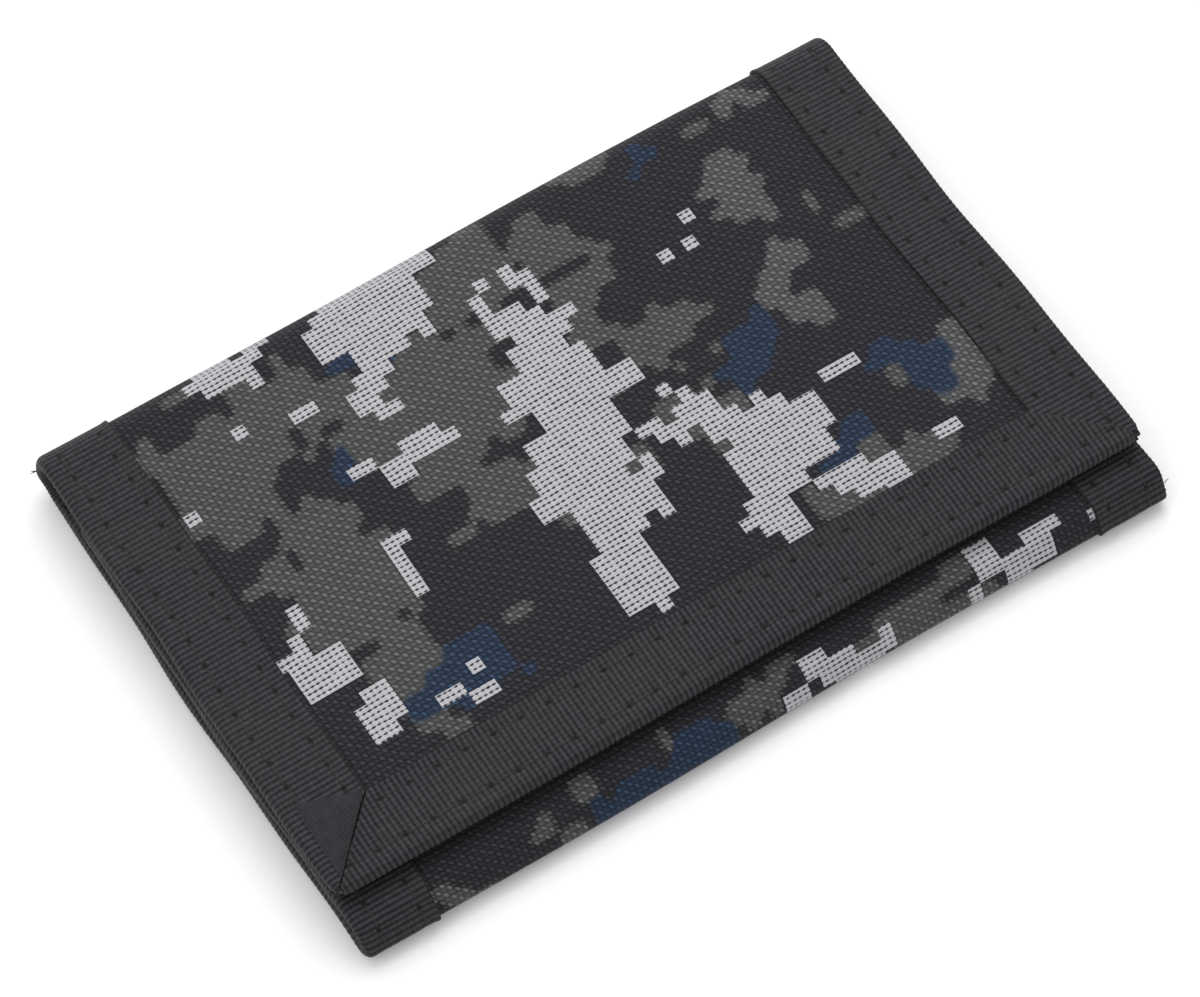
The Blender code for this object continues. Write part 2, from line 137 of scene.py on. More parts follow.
# Where the cloth pieces meet
CUT_SPINE = (S_UPPER + S_SPINE) / 2
CUT_FRONT = S_BASE + radians(45) * FRONT_RADIUS
CUT_INNER = S_BASE + radians(155) * FRONT_RADIUS

# How the folded stack settles. Its height in the middle and what it loses at the edges are shares of the
# frame's, and each edge takes effect from so many millimetres inside it, over so many millimetres
PRESS_MIDDLE, PRESS_EDGE, PRESS_WAVE = 1.035, 0.085, 0.008
PRESS_SIDE, PRESS_FRONT, PRESS_REAR = (26, 24), (24, 22), (14, 14)

# How far the two sides bow inwards, how much the edges wander, and how far the front fold's lower half
# bulges: it fades from the base up to a height, over so many millimetres
BOW_LEFT, BOW_RIGHT = 0.28, 0.06
WANDER, FINE_WANDER, DRIFT = 0.18, 0.12, 0.22
LIP, LIP_FRONT, LIP_HEIGHT = 1.35, (9, 8), (4.6, 3.2)


# ---- folding the strip


def soft_step(t):
    """0 to 1 with flat ends."""
    t = np.clip(t, 0.0, 1.0)
    return t * t * (3 - 2 * t)


def arc(s, begins, centre, radius, angle):
    """Strip going round a centre (y, z) from an angle, clockwise."""
    turned = angle - (s - begins) / radius
    y, z = np.cos(turned), np.sin(turned)
    return centre[0] + radius * y, centre[1] + radius * z, -y, -z


def strip_line(s):
    """Place (y, z) and depth direction (dy, dz) along the strip's outside."""
    s = np.asarray(s, float)
    zero, one = np.zeros_like(s), np.ones_like(s)
    parts = (
        (s <= S_FLAP, (FLAP_EDGE + s, HEIGHT * one, zero, -one)),
        (s <= S_UPPER, arc(s, S_FLAP, (BACK_CENTRE, HEIGHT - BACK_RADIUS), BACK_RADIUS, pi / 2)),
        (s <= S_SPINE, (HALF_DEPTH * one, HEIGHT - BACK_RADIUS - (s - S_UPPER), -one, zero)),
        (s <= S_LOWER, arc(s, S_SPINE, (BACK_CENTRE, BACK_RADIUS), BACK_RADIUS, 0.0)),
        (s <= S_BASE, (BACK_CENTRE - (s - S_LOWER), zero, zero, one)),
        (s <= S_FRONT, arc(s, S_BASE, (FRONT_CENTRE, FRONT_RADIUS), FRONT_RADIUS, -pi / 2)),
        (s > S_FRONT, (FRONT_CENTRE + (s - S_FRONT), INNER_HEIGHT * one, zero, -one)),
    )
    zones = [zone for zone, _ in parts]
    return [np.select(zones, values) for values in zip(*[values for _, values in parts])]


def near_edge(place, half, reach):
    """0 to 1 towards an edge. reach says how far inside it that starts, and over what distance."""
    return soft_step((place - (half - reach[0])) / reach[1])


def settle(x, y, z):
    """Presses the folded stack flatter round its edges than in the middle, and lets the edges wander."""
    side = near_edge(np.abs(x), HALF_WIDTH, PRESS_SIDE)
    front = near_edge(-y, HALF_DEPTH, PRESS_FRONT)
    rear = near_edge(y, HALF_DEPTH, PRESS_REAR)
    edge = 1 - (1 - side) * (1 - front) * (1 - 0.3 * rear)
    press = PRESS_MIDDLE - PRESS_EDGE * edge + PRESS_WAVE * np.sin(x / 17 + 0.7) * np.cos(y / 13)
    bow = np.sin(np.pi * (y + HALF_DEPTH) / (2 * HALF_DEPTH)) * np.where(x < 0, BOW_LEFT, BOW_RIGHT)
    sway = WANDER * np.sin(y / 9.0 + 1.3 + z / 4) + FINE_WANDER * np.sin(y / 4.1 + z)
    drift = DRIFT * np.sin(x / 16.0 + 0.4) * np.abs(y) / HALF_DEPTH
    lip = LIP * near_edge(-y, HALF_DEPTH, LIP_FRONT) * soft_step((LIP_HEIGHT[0] - z) / LIP_HEIGHT[1])
    return x - bow * np.abs(x) / HALF_WIDTH + sway * x / HALF_WIDTH, y + drift - lip, z * press


def place_all(places):
    """World millimetres to metres, settled like the strip."""
    return np.stack(settle(*np.asarray(places, float).T), axis=1) * MM


def fold(flat):
    """Flat places (x, s, d) to metres in the closed wallet."""
    x, s, d = np.asarray(flat, float).T
    y, z, dy, dz = strip_line(s)
    return place_all(np.stack([x, y + d * dy, z + d * dz], axis=1))


# ---- meshes


def into_scene(obj):
    """Puts a new object in the scene."""
    bpy.context.scene.collection.objects.link(obj)
    return obj


def make_object(name, verts, faces, look, flat=None, smooth=True):
    """A mesh object. flat keeps the places on the flat cloth, for its material."""
    mesh = bpy.data.meshes.new(name)
    mesh.from_pydata([tuple(v) for v in verts], [], [tuple(f) for f in faces])
    if flat is not None:
        attribute = mesh.attributes.new("cloth", "FLOAT_VECTOR", "POINT")
        attribute.data.foreach_set("vector", np.asarray(flat, np.float32).ravel())
    mesh.materials.append(material(look))
    bm = bmesh.new()
    bm.from_mesh(mesh)
    bmesh.ops.recalc_face_normals(bm, faces=bm.faces)
    bm.to_mesh(mesh)
    bm.free()
    if smooth:
        mesh.shade_smooth()
        mesh.set_sharp_from_angle(angle=radians(50))
    return into_scene(bpy.data.objects.new(name, mesh))


def grid_solid(xs, ys, top, bottom, keep=None):
    """A thin closed sheet over the grid's cells, or those that keep. top and bottom are arrays on the grid.
    The cells' faces on the top side come first."""
    nx, ny = len(xs), len(ys)
    index = np.arange(nx * ny).reshape(nx, ny)
    gx, gy = np.meshgrid(xs, ys, indexing="ij")
    both = [np.stack([gx, gy, side], axis=-1).reshape(-1, 3) for side in (top, bottom)]
    corners = (index[:-1, :-1], index[1:, :-1], index[1:, 1:], index[:-1, 1:])
    quads = np.stack(corners, axis=-1)
    quads = [tuple(q) for q in (quads.reshape(-1, 4) if keep is None else quads[keep])]
    sides = {(a, b) for q in quads for a, b in zip(q, q[1:] + q[:1])}
    rim = sorted((a, b) for a, b in sides if (b, a) not in sides)
    n = nx * ny
    faces = quads + [tuple(v + n for v in q[::-1]) for q in quads]
    faces += [(b, a, a + n, b + n) for a, b in rim]
    used = sorted({v for face in faces for v in face})
    order = {v: i for i, v in enumerate(used)}
    return np.concatenate(both)[used], [tuple(order[v] for v in face) for face in faces]


def outside_hole(xs, ys, hole):
    """Which grid cells lie outside the hole=(x range, y range)."""
    (x0, x1), (y0, y1) = hole
    cx, cy = (xs[:-1] + xs[1:]) / 2, (ys[:-1] + ys[1:]) / 2
    return ~(((cx > x0) & (cx < x1))[:, None] & ((cy > y0) & (cy < y1))[None, :])


def ring_faces(base, rings, sides):
    """Faces of a closed tube whose rings of verts start at base."""
    faces = []
    for r in range(rings - 1):
        for k in range(sides):
            a, b = base + r * sides + k, base + r * sides + (k + 1) % sides
            faces.append((a, b, b + sides, a + sides))
    return faces + [tuple(base + r * sides + k for k in range(sides)) for r in (0, rings - 1)]


def circle(sides, radius=1.0):
    """Points of a ring, as pairs."""
    angles = [2 * pi * k / sides for k in range(sides)]
    return [(radius * cos(angle), radius * sin(angle)) for angle in angles]


# ---- edge tape

RIB_PITCH = 0.80
RIB_HEIGHT = 0.07
STITCH_PITCH = 4.2
STITCH_ROWS = (2.9, 8.9)
STITCH_LENGTH = 3.7
STITCH_RADIUS = 0.12
SIDES = 6
HOLE_DEPTH = 0.26
HOLE_SPREAD = (0.48, 0.40)
EDGE_WANDER = (0.10, 0.05)
STATIONS_PER_RIB = 4
EDGE_LIFT = 0.10

# Free corners: radius, and how much of a mitre's tip is cut off
CORNER = 2.2
BLUNT = 0.9


def tape_profile(outer, inner):
    """A tape folded over an edge, as a closed loop of (inward, depth, out_inward, out_depth, on_outside)."""
    rows = [COVER, COVER - 0.25, 10.0, 9.4, STITCH_ROWS[1], 8.4, 7.2, 6.0, 4.8, 3.4, STITCH_ROWS[0], 2.4, 1.7]
    r = min((inner - outer) / 2, 1.1)
    loop = [(a, outer - (EDGE_LIFT if a > 10.5 else 0.0), 0.0, -1.0, 1.0) for a in rows]
    turns = [(cos(t), sin(t)) for t in np.linspace(0.0, pi / 2, 6)]
    loop += [(r - r * v, outer + r - r * u, -v, -u, 1.0) for u, v in turns]
    loop += [(r - r * u, inner - r + r * v, -u, v, 1.0) for u, v in turns]
    loop += [(a, inner, 0.0, 1.0, 1.0) for a in reversed(rows)]
    web = min(TAPE + 0.35, r)
    inside = [(COVER, inner - TAPE), (6.0, inner - TAPE), (web + 0.6, inner - TAPE), (TAPE, inner - r)]
    inside += [(TAPE, outer + r), (web + 0.6, outer + TAPE), (6.0, outer + TAPE), (COVER, outer + TAPE)]
    loop += [(a, d, 0.0, 0.0, 0.0) for a, d in inside]
    return np.array(loop)


def stitch_marks(start, end):
    """Needle holes between two places along a tape."""
    first = ceil(start / STITCH_PITCH)
    last = floor(end / STITCH_PITCH)
    return [k * STITCH_PITCH for k in range(first, last + 1)]


def tape_mesh(along, outer, inner_at):
    """Verts (along, inward, depth) and faces of a ribbed tape. inner_at gives the lower leaf's depth."""
    count = int(round((along[1] - along[0]) / RIB_PITCH * STATIONS_PER_RIB)) + 1
    stations = np.linspace(along[0], along[1], count)
    holes = np.array(stitch_marks(along[0] - 1, along[1] + 1) or [1e9])
    rings = []
    for station in stations:
        loop = tape_profile(outer, inner_at(station))
        rib = 0.5 - 0.5 * cos(2 * pi * station / RIB_PITCH)
        hole = exp(-((np.abs(holes - station).min() / HOLE_SPREAD[0]) ** 2))
        rise = RIB_HEIGHT * (rib - 1.0) * loop[:, 4]
        for row in STITCH_ROWS:
            near = np.exp(-(((loop[:, 0] - row) / HOLE_SPREAD[1]) ** 2)) * (np.abs(loop[:, 3]) > 0.9)
            rise = rise - HOLE_DEPTH * hole * near
        inward = loop[:, 0] + loop[:, 2] * rise
        edge = (loop[:, 0] > COVER - 0.01) & (loop[:, 4] > 0)
        inward = inward + edge * (EDGE_WANDER[0] * sin(station / 7.0) + EDGE_WANDER[1] * sin(station / 2.3))
        depth = loop[:, 1] + loop[:, 3] * rise
        rings.append(np.stack([np.full_like(inward, station), inward, depth], axis=1))
    m = len(rings[0])
    verts = np.concatenate(rings)
    index = np.arange(len(verts)).reshape(count, m)
    a, b = index[:-1], index[1:]
    quads = np.stack([a, np.roll(a, -1, axis=1), np.roll(b, -1, axis=1), b], axis=-1).reshape(-1, 4)
    return verts, [tuple(q) for q in quads] + [tuple(index[0]), tuple(index[-1][::-1])]


def trim(verts, faces, cuts):
    """Cuts a closed mesh with planes (point, normal), dropping what lies on the normal's side."""
    bm = bmesh.new()
    made = [bm.verts.new(v) for v in verts]
    for face in faces:
        bm.faces.new([made[i] for i in face])
    for point, normal in cuts:
        geometry = [*bm.verts, *bm.edges, *bm.faces]
        out = bmesh.ops.bisect_plane(bm, geom=geometry, plane_co=point, plane_no=normal, clear_outer=True)
        rim = [e for e in out["geom_cut"] if isinstance(e, bmesh.types.BMEdge)]
        bmesh.ops.edgeloop_fill(bm, edges=rim)
    bm.verts.ensure_lookup_table()
    bm.verts.index_update()
    verts = np.array([v.co for v in bm.verts])
    faces = [[v.index for v in f.verts] for f in bm.faces]
    bm.free()
    return verts, faces


def side_to_flat(side):
    """Tape places (along, inward, depth) on the left (-1) or right (+1) edge, laid flat."""
    return lambda p: np.stack([side * (HALF_WIDTH - p[:, 1]), p[:, 0], p[:, 2]], axis=1)


def end_to_flat(s_edge, inwards):
    """The same on a free end of the strip, where the tape runs along x."""
    return lambda p: np.stack([p[:, 0], s_edge + inwards * p[:, 1], p[:, 2]], axis=1)


def round_corners(flat, s_edge, inwards):
    """Rounds the two corners of a free end: a square corner is drawn in to a quarter circle."""
    out = flat.copy()
    u = CORNER - (HALF_WIDTH - np.abs(flat[:, 0]))
    v = CORNER - (flat[:, 1] - s_edge) * inwards
    inside = (u > 0) & (v > 0)
    length = np.hypot(u, v)
    scale = np.where(inside, np.maximum(u, v) / np.maximum(length, 1e-9), 1.0)
    out[:, 0] = np.where(inside, np.sign(flat[:, 0]) * (HALF_WIDTH - CORNER + u * scale), flat[:, 0])
    out[:, 1] = np.where(inside, s_edge + inwards * (CORNER - v * scale), flat[:, 1])
    return out


def lap_lift(flat, side, s_edge, inwards, height, spread):
    """Lifts the outer leaf beside a corner's mitre, on both sides of the diagonal."""
    out = flat.copy()
    u, v = HALF_WIDTH - side * flat[:, 0], (flat[:, 1] - s_edge) * inwards
    from_mitre, down_it = (u - v) / sqrt(2), (u + v) / 2
    reach = soft_step((down_it - 0.8) / 2.5) * soft_step((COVER + 0.8 - down_it) / 2.0)
    rise = height * reach * np.exp(-((from_mitre / spread) ** 2))
    out[:, 2] -= np.where((flat[:, 2] < 1.2) & (down_it < COVER + 1), rise, 0.0)
    return out


def add_tape(name, along, to_flat, outer, inner_at, cuts=(), corner=None, laps=()):
    """One run of edge tape, ribbed, with its needle holes. corner is (s_edge, inwards) at a free end."""
    verts, faces = tape_mesh(along, outer, inner_at)
    if cuts:
        verts, faces = trim(verts, faces, cuts)
    flat = to_flat(verts)
    for side, height, spread in laps:
        flat = lap_lift(flat, side, *corner, height, spread)
    if corner:
        flat = round_corners(flat, *corner)
    return make_object(name, fold(flat), faces, "edge_tape", flat=verts)


def one_stitch(length, radius, end, broad, arch, rings):
    """Places (along, across, lift) of a thread that swells from its ends, end being their share."""
    places = []
    for i in range(rings):
        t = i / (rings - 1)
        swell = sin(pi * t)
        ring = circle(SIDES, radius * (end + (1 - end) * swell**0.5))
        places += [((t - 0.5) * length, broad * u, arch(swell) + v) for u, v in ring]
    return places


def add_stitches(name, along, to_flat, outer, inner_at, limit=None, corner=None):
    """Thread between the needle holes, on both faces of a tape. limit(inward) says where stitches start."""
    verts, faces = [], []
    rings = 7
    arch = lambda swell: 0.14 * swell**0.8 - 0.20
    stitch = one_stitch(STITCH_LENGTH, STITCH_RADIUS, 0.55, 1.25, arch, rings)
    for row in STITCH_ROWS:
        first, last = limit(row) if limit else along
        for hole in stitch_marks(first, last - 0.01):
            middle = hole + STITCH_PITCH / 2
            for depth, out in ((outer, -1.0), (inner_at(middle), 1.0)):
                faces += ring_faces(len(verts), rings, SIDES)
                verts += [(middle + a, row + b, depth + out * c) for a, b, c in stitch]
    flat = to_flat(np.array(verts))
    if corner:
        flat = round_corners(flat, *corner)
    return make_object(name, fold(flat), faces, "thread", flat=np.array(verts))


# ---- the print

CELL = 1.95
PRINT_SEED = 7

# Seeded patches of each ink: half sizes from and to, and how many
SEEDED = {"white": (3, 10, 22), "grey": (5, 13, 34), "pale": (3, 7, 14), "navy": (3, 8, 16)}
GREY_STAMPS, WHITE_STAMPS = 150, 60

# How far the patches' outlines jump: by pairs of rows, by rows and by cells, across and along
JITTER_X, JITTER_S = (2.2, 0.9, 0.4), (1.9, 0.7, 0.4)

# Patches as (x, s, half width, half length, lean), in millimetres and degrees, on the faces that the
# photograph shows. WHITE_BARS are (x, s) and a size in cells. The rest is seeded
WHITE_PATCHES = (
    (-14, 73, 9, 8, 12), (-9, 80, 10, 5, 0), (-19, 62, 2.6, 5, 15), (-35, 76, 6, 3.6, 0),
    (5, 57, 4.5, 6, 10), (1, 46, 8, 10, 8), (-2, 33, 7.5, 9, 4), (-5, 20, 4.5, 7, 8),
    (-20, 51, 7, 2.3, 0), (21, 25, 8, 7.5, 0), (17, 36, 2.6, 6, -20), (12, 34, 6, 2, 0),
    (15, 16, 3.0, 4.5, 0), (29, 15, 5.5, 3, 0), (-47, 29, 3.8, 5.5, 10), (-43, 20, 2.2, 4.5, 20),
)
GREY_PATCHES = (
    (-43, 62, 9, 10, 0), (-40, 40, 9, 12, 10), (-14, 55, 13, 11, 0), (2, 70, 7, 7, 0),
    (12, 62, 5, 12, 10), (-8, 36, 14, 5, 30), (-37, 21, 6, 8, 0), (16, 47, 7, 5, 0),
    (-30, 66, 7, 7, 0), (14, 33, 5, 6, 0), (20, 77, 5, 2.5, 0), (30, 14, 12, 4, 0),
)
PALE_PATCHES = (
    (40, 61, 3.6, 7.5, 15), (37, 47, 3.8, 3.2, 0), (48, 22, 5, 7, 20), (45, 73, 3.5, 2.4, 0),
    (36, 39, 3, 4, 0),
)
NAVY_PATCHES = (
    (24, 40, 5, 4.2, 0), (43, 24, 4.4, 5.5, 0), (29, 19, 4, 3, 0), (-31, 18, 8, 4.5, 0), (32, 73, 2.5, 2, 0),
    (-30, 52, 2.6, 2.4, 0), (-20, 66, 3, 2.5, 0),
)
WHITE_BARS = (
    (-31, 32, 1, 4), (-30, 40, 2, 1), (-31, 36.5, 1, 1), (0, 67, 1, 1), (4, 66, 1, 2), (-1, 61, 1, 3),
    (25, 58, 1, 1), (29, 57, 1, 1), (31, 61, 1, 1), (-38, 66, 1, 1), (-31, 64, 2, 1), (-50, 57, 1, 1),
    (-37, 16, 2, 1), (-33, 15, 2, 1), (-31, 18.5, 1, 1), (10, 44, 1, 1), (33, 30, 3, 1), (-9, 66, 1, 4),
    (40, 14, 2, 1), (-46, 36, 1, 2),
)


# The front fold, seen under the flap
FOLD = S_BASE + radians(105) * FRONT_RADIUS
WHITE_PATCHES += ((38, FOLD + 1.5, 7.5, 3.4, 0), (10, FOLD, 8.5, 3.0, 0), (52, FOLD, 2, 1.2, 0))
GREY_PATCHES += (
    (24, FOLD, 10, 5, 0), (-2, FOLD + 2, 6, 3, 0), (-33, FOLD, 3, 2.5, 0), (-49, FOLD - 1, 3, 3, 0),
)
NAVY_PATCHES += ((-12, FOLD, 7, 4, 0), (-24, FOLD - 1, 6, 3.4, 0))


def patch_field(patches, x, s):
    """Above zero inside the patches."""
    field = np.full(x.shape, -9.0)
    for px, ps, rx, rs, lean in patches:
        c, n = cos(radians(lean)), sin(radians(lean))
        dx, ds = x - px, s - ps
        across, down = (c * dx - n * ds) / rx, (n * dx + c * ds) / rs
        field = np.maximum(field, 1.0 - np.sqrt(across**2 + down**2))
    return field


class Print:
    """The pattern of the canvas as cells on the flat strip."""

    def __init__(self):
        rng = np.random.default_rng(PRINT_SEED)
        self.x0 = -CELL * ceil(HALF_WIDTH / CELL)
        self.nx = 2 * ceil(HALF_WIDTH / CELL)
        self.ns = ceil(S_END / CELL) + 1
        centre_x = self.x0 + CELL * (np.arange(self.nx) + 0.5)
        centre_s = CELL * (np.arange(self.ns) + 0.5)
        x, s = np.meshgrid(centre_x, centre_s, indexing="ij")
        beyond = S_FLAP + 8.0
        more = {kind: [] for kind in SEEDED}
        for kind, (small, large, count) in SEEDED.items():
            for _ in range(count):
                rx, rs = rng.uniform(small, large, 2)
                place = (rng.uniform(-60, 60), rng.uniform(beyond, S_END))
                if abs(place[1] - FOLD) > 8 + rs:
                    more[kind].append((*place, rx, rs * 0.8, rng.uniform(-25, 25)))
        rough = {k: rng.uniform(-1, 1, x.shape) for k in more}
        rows = {k: rng.uniform(-1, 1, (1, self.ns)) for k in more}
        columns = {k: rng.uniform(-1, 1, (self.nx, 1)) for k in more}
        hand = {"white": WHITE_PATCHES, "grey": GREY_PATCHES, "pale": PALE_PATCHES, "navy": NAVY_PATCHES}
        self.masks = {}
        for kind in more:
            in_pairs = np.repeat(rows[kind][:, ::2], 2, axis=1)[:, : self.ns]
            parts = (in_pairs, rows[kind], rough[kind])
            jump_x = sum(share * part for share, part in zip(JITTER_X, parts))
            in_pairs = np.repeat(columns[kind][::2], 2, axis=0)[: self.nx]
            parts = (in_pairs, columns[kind], rough[kind])
            jump_s = sum(share * part for share, part in zip(JITTER_S, parts))
            field = patch_field([*hand[kind], *more[kind]], x + jump_x, s + jump_s)
            self.masks[kind] = (field > 0).astype(float)
        for px, ps, *size in WHITE_BARS:
            self.stamp("white", int((px - self.x0) / CELL), int(ps / CELL), size, 1.0)
        for k in range(GREY_STAMPS):
            place = rng.integers(1, self.nx - 3), rng.integers(1, self.ns - 3)
            size = ((1, 2), (2, 1), (2, 2), (3, 1), (1, 1))[rng.integers(0, 5)]
            self.stamp("grey", *place, size, float(k % 3 == 0))
            if k % 3:
                self.stamp("pale", *place, size, 0.0)
                self.stamp("navy", *place, size, 0.0)
        for _ in range(WHITE_STAMPS):
            i, j = rng.integers(2, self.nx - 4), rng.integers(int(beyond / CELL), self.ns - 4)
            size = ((1, 1), (2, 1), (1, 3), (3, 1))[rng.integers(0, 4)]
            if abs(j * CELL - FOLD) > 14:
                self.stamp("white", i, j, size, 1.0)

    def stamp(self, kind, i, j, size, value):
        """Sets a block of cells."""
        self.masks[kind][i : i + size[0], j : j + size[1]] = value

    def cell(self, kind, x, s):
        """The mask's value in the cell at (x, s)."""
        i = np.clip(((x - self.x0) / CELL).astype(int), 0, self.nx - 1)
        j = np.clip((s / CELL).astype(int), 0, self.ns - 1)
        return self.masks[kind][i, j]

    def soft(self, kind, x, s):
        """The mask, blurred over most of a cell."""
        reach = 0.42 * CELL
        offsets = [(a, b) for a in (-reach, 0, reach) for b in (-reach, 0, reach)]
        return sum(self.cell(kind, x + a, s + b) for a, b in offsets) / len(offsets)


def print_lines(start, end):
    """Grid lines on the print's half cells between two places, with both ends."""
    half = CELL / 2
    inner = [k * half for k in range(ceil(start / half), floor(end / half) + 1)]
    return np.array([start] + [v for v in inner if start + 0.2 < v < end - 0.2] + [end])


def add_canvas(name, s_range, pattern):
    """A stretch of the printed canvas."""
    xs, ss = print_lines(-REACH, REACH), print_lines(*s_range)
    gx, gs = np.meshgrid(xs, ss, indexing="ij")
    top = SHELL_TOP + 0.05 * np.sin(gx / 11.0) * np.sin(gs / 9.0 + 1.0)
    verts, faces = grid_solid(xs, ss, top, top + SHELL)
    obj = make_object(name, fold(verts), faces, "canvas", flat=verts)
    mesh = obj.data
    centre = verts[np.array(faces)].mean(axis=1)
    outside = np.arange(len(faces)) < (len(xs) - 1) * (len(ss) - 1)
    white = pattern.cell("white", centre[:, 0], centre[:, 1]) * outside
    ink = mesh.attributes.new("ink_white", "FLOAT", "FACE")
    ink.data.foreach_set("value", white.astype(np.float32))
    face = np.arange(len(verts)) < len(verts) // 2
    tones = np.ones((len(verts), 4), np.float32)
    for channel, kind in enumerate(("grey", "navy", "pale")):
        tones[:, channel] = pattern.soft(kind, verts[:, 0], verts[:, 1]) * face
    tone = mesh.attributes.new("ink_tones", "FLOAT_COLOR", "POINT")
    tone.data.foreach_set("color", tones.ravel())
    return obj


# ---- materials

CANVAS_PITCH = (0.85, 0.785)
HOLE_SIZE = (0.27, 0.15)
INK_BLACK = (0.021, 0.0205, 0.0245)
INK_GREY = (0.072, 0.074, 0.071)
INK_PALE = (0.082, 0.083, 0.086)
INK_NAVY = (0.017, 0.031, 0.060)
INK_WHITE = (0.47, 0.465, 0.49)
TAPE_BLACK = (0.0220, 0.0211, 0.0252)
TAPE_FADED = (0.045, 0.043, 0.042)
LINING_BLACK = (0.020, 0.020, 0.022)
# Painted shade in the canvas's holes between the threads
HOLE_SHADE = (0.030, 0.026, 0.030)
FUZZ = (0.35, 0.36, 0.38)
CORD_PITCH = 0.69
# Size of the painted shade at each needle hole of the tape, along and across
DENT = (0.66, 0.33)


def times(colour, factor):
    """The colour, lighter or darker."""
    return tuple(factor * c for c in colour)


class Nodes:
    """Short forms for building a node tree."""

    def __init__(self, name):
        self.material = bpy.data.materials.new(name)
        self.material.use_nodes = True
        self.tree = self.material.node_tree
        self.shader = self.tree.nodes["Principled BSDF"]

    def new(self, kind, **values):
        """A new node with its settings."""
        node = self.tree.nodes.new(kind)
        for key, value in values.items():
            setattr(node, key, value)
        return node

    def link(self, source, socket):
        """Gives a socket a number, a colour or another socket."""
        if isinstance(source, (int, float)):
            socket.default_value = source
        elif isinstance(source, tuple):
            socket.default_value = (*source, 1.0) if len(source) == 3 else source
        else:
            self.tree.links.new(source, socket)

    def math(self, operation, a, b=0.0, c=0.0):
        node = self.new("ShaderNodeMath", operation=operation)
        for value, socket in zip((a, b, c), node.inputs):
            self.link(value, socket)
        return node.outputs[0]

    def mul(self, a, b):
        return self.math("MULTIPLY", a, b)

    def add(self, a, b):
        return self.math("ADD", a, b)

    def sub(self, a, b):
        return self.math("SUBTRACT", a, b)

    def div(self, a, b):
        return self.math("DIVIDE", a, b)

    def sine(self, a):
        return self.math("SINE", a)

    def mix(self, factor, a, b, blend="MIX"):
        node = self.new("ShaderNodeMix", data_type="RGBA", blend_type=blend)
        for key, data in (("Factor", factor), ("A", a), ("B", b)):
            self.link(data, node.inputs[key])
        return node.outputs["Result"]

    def shade(self, colour, factor, low, high):
        """The colour times a grey that goes from low to high with the factor."""
        return self.mix(1.0, colour, self.mix(factor, (low,) * 3, (high,) * 3), "MULTIPLY")

    def ramp(self, value, start, end, to_min=0.0, to_max=1.0):
        """A smooth step from to_min at the start to to_max at the end."""
        node = self.new("ShaderNodeMapRange", interpolation_type="SMOOTHSTEP")
        keys = ("Value", "From Min", "From Max", "To Min", "To Max")
        for key, data in zip(keys, (value, start, end, to_min, to_max)):
            self.link(data, node.inputs[key])
        return node.outputs["Result"]

    def attribute(self, name, output="Fac"):
        return self.new("ShaderNodeAttribute", attribute_name=name).outputs[output]

    def flat(self):
        """The flat place as (x, y, z) sockets and the vector."""
        vector = self.attribute("cloth", "Vector")
        split = self.new("ShaderNodeSeparateXYZ")
        self.link(vector, split.inputs[0])
        return split.outputs[0], split.outputs[1], vector

    def local(self):
        """The place in the object's own frame, as a vector."""
        return self.new("ShaderNodeTexCoord").outputs["Object"]

    def sway(self, value, amount):
        """A value from 0 to 1 moved to lie round 0."""
        return self.mul(self.sub(value, 0.5), amount)

    def noise(self, vector, scale, detail=2.0, rough=0.5):
        node = self.new("ShaderNodeTexNoise")
        for key, data in (("Vector", vector), ("Scale", scale), ("Detail", detail), ("Roughness", rough)):
            self.link(data, node.inputs[key])
        return node.outputs["Fac"]

    def bump(self, height, distance_mm, strength=1.0):
        node = self.new("ShaderNodeBump")
        for key, data in (("Distance", distance_mm * MM), ("Strength", strength), ("Height", height)):
            self.link(data, node.inputs[key])
        self.link(node.outputs[0], self.shader.inputs["Normal"])

    def weave(self, u, v, pitch):
        """Plain weave: height of the thread on top, 0 in the holes between threads."""
        half, cells = [], []
        for value, spacing in zip((u, v), pitch):
            scaled = self.div(value, spacing)
            cells.append(self.math("FLOOR", scaled))
            turn = self.mul(self.math("FRACT", scaled), pi)
            half.append(self.math("MAXIMUM", self.sine(turn), 0.001))
        over = self.math("FLOORED_MODULO", self.add(*cells), 2.0)
        broad, narrow = [[self.math("POWER", side, power) for side in half] for power in (0.9, 0.35)]
        warp, weft = self.mul(broad[0], narrow[1]), self.mul(narrow[0], broad[1])
        keep = self.sub(1.0, over)
        return self.add(self.mul(warp, over), self.mul(weft, keep)), over

    def pinholes(self, u, v, pitch, size, uneven):
        """1 in the small long holes where threads cross, 0 on the threads."""
        total = uneven
        for value, spacing, reach in zip((u, v), pitch, size):
            wave = self.sine(self.mul(value, pi / spacing))
            away = self.mul(wave, spacing / pi / reach)
            total = self.add(total, self.mul(away, away))
        return self.ramp(total, 0.45, 1.25, 1.0, 0.0)

    def finish(self, colour, roughness, sheen=0.0, shine=0.15):
        """Links the colour and roughness, and hands over the material."""
        cloth = {"Sheen Weight": sheen, "Sheen Roughness": 0.5, "Specular IOR Level": shine}
        for key, data in {"Base Color": colour, "Roughness": roughness, **cloth}.items():
            self.link(data, self.shader.inputs[key])
        return self.material


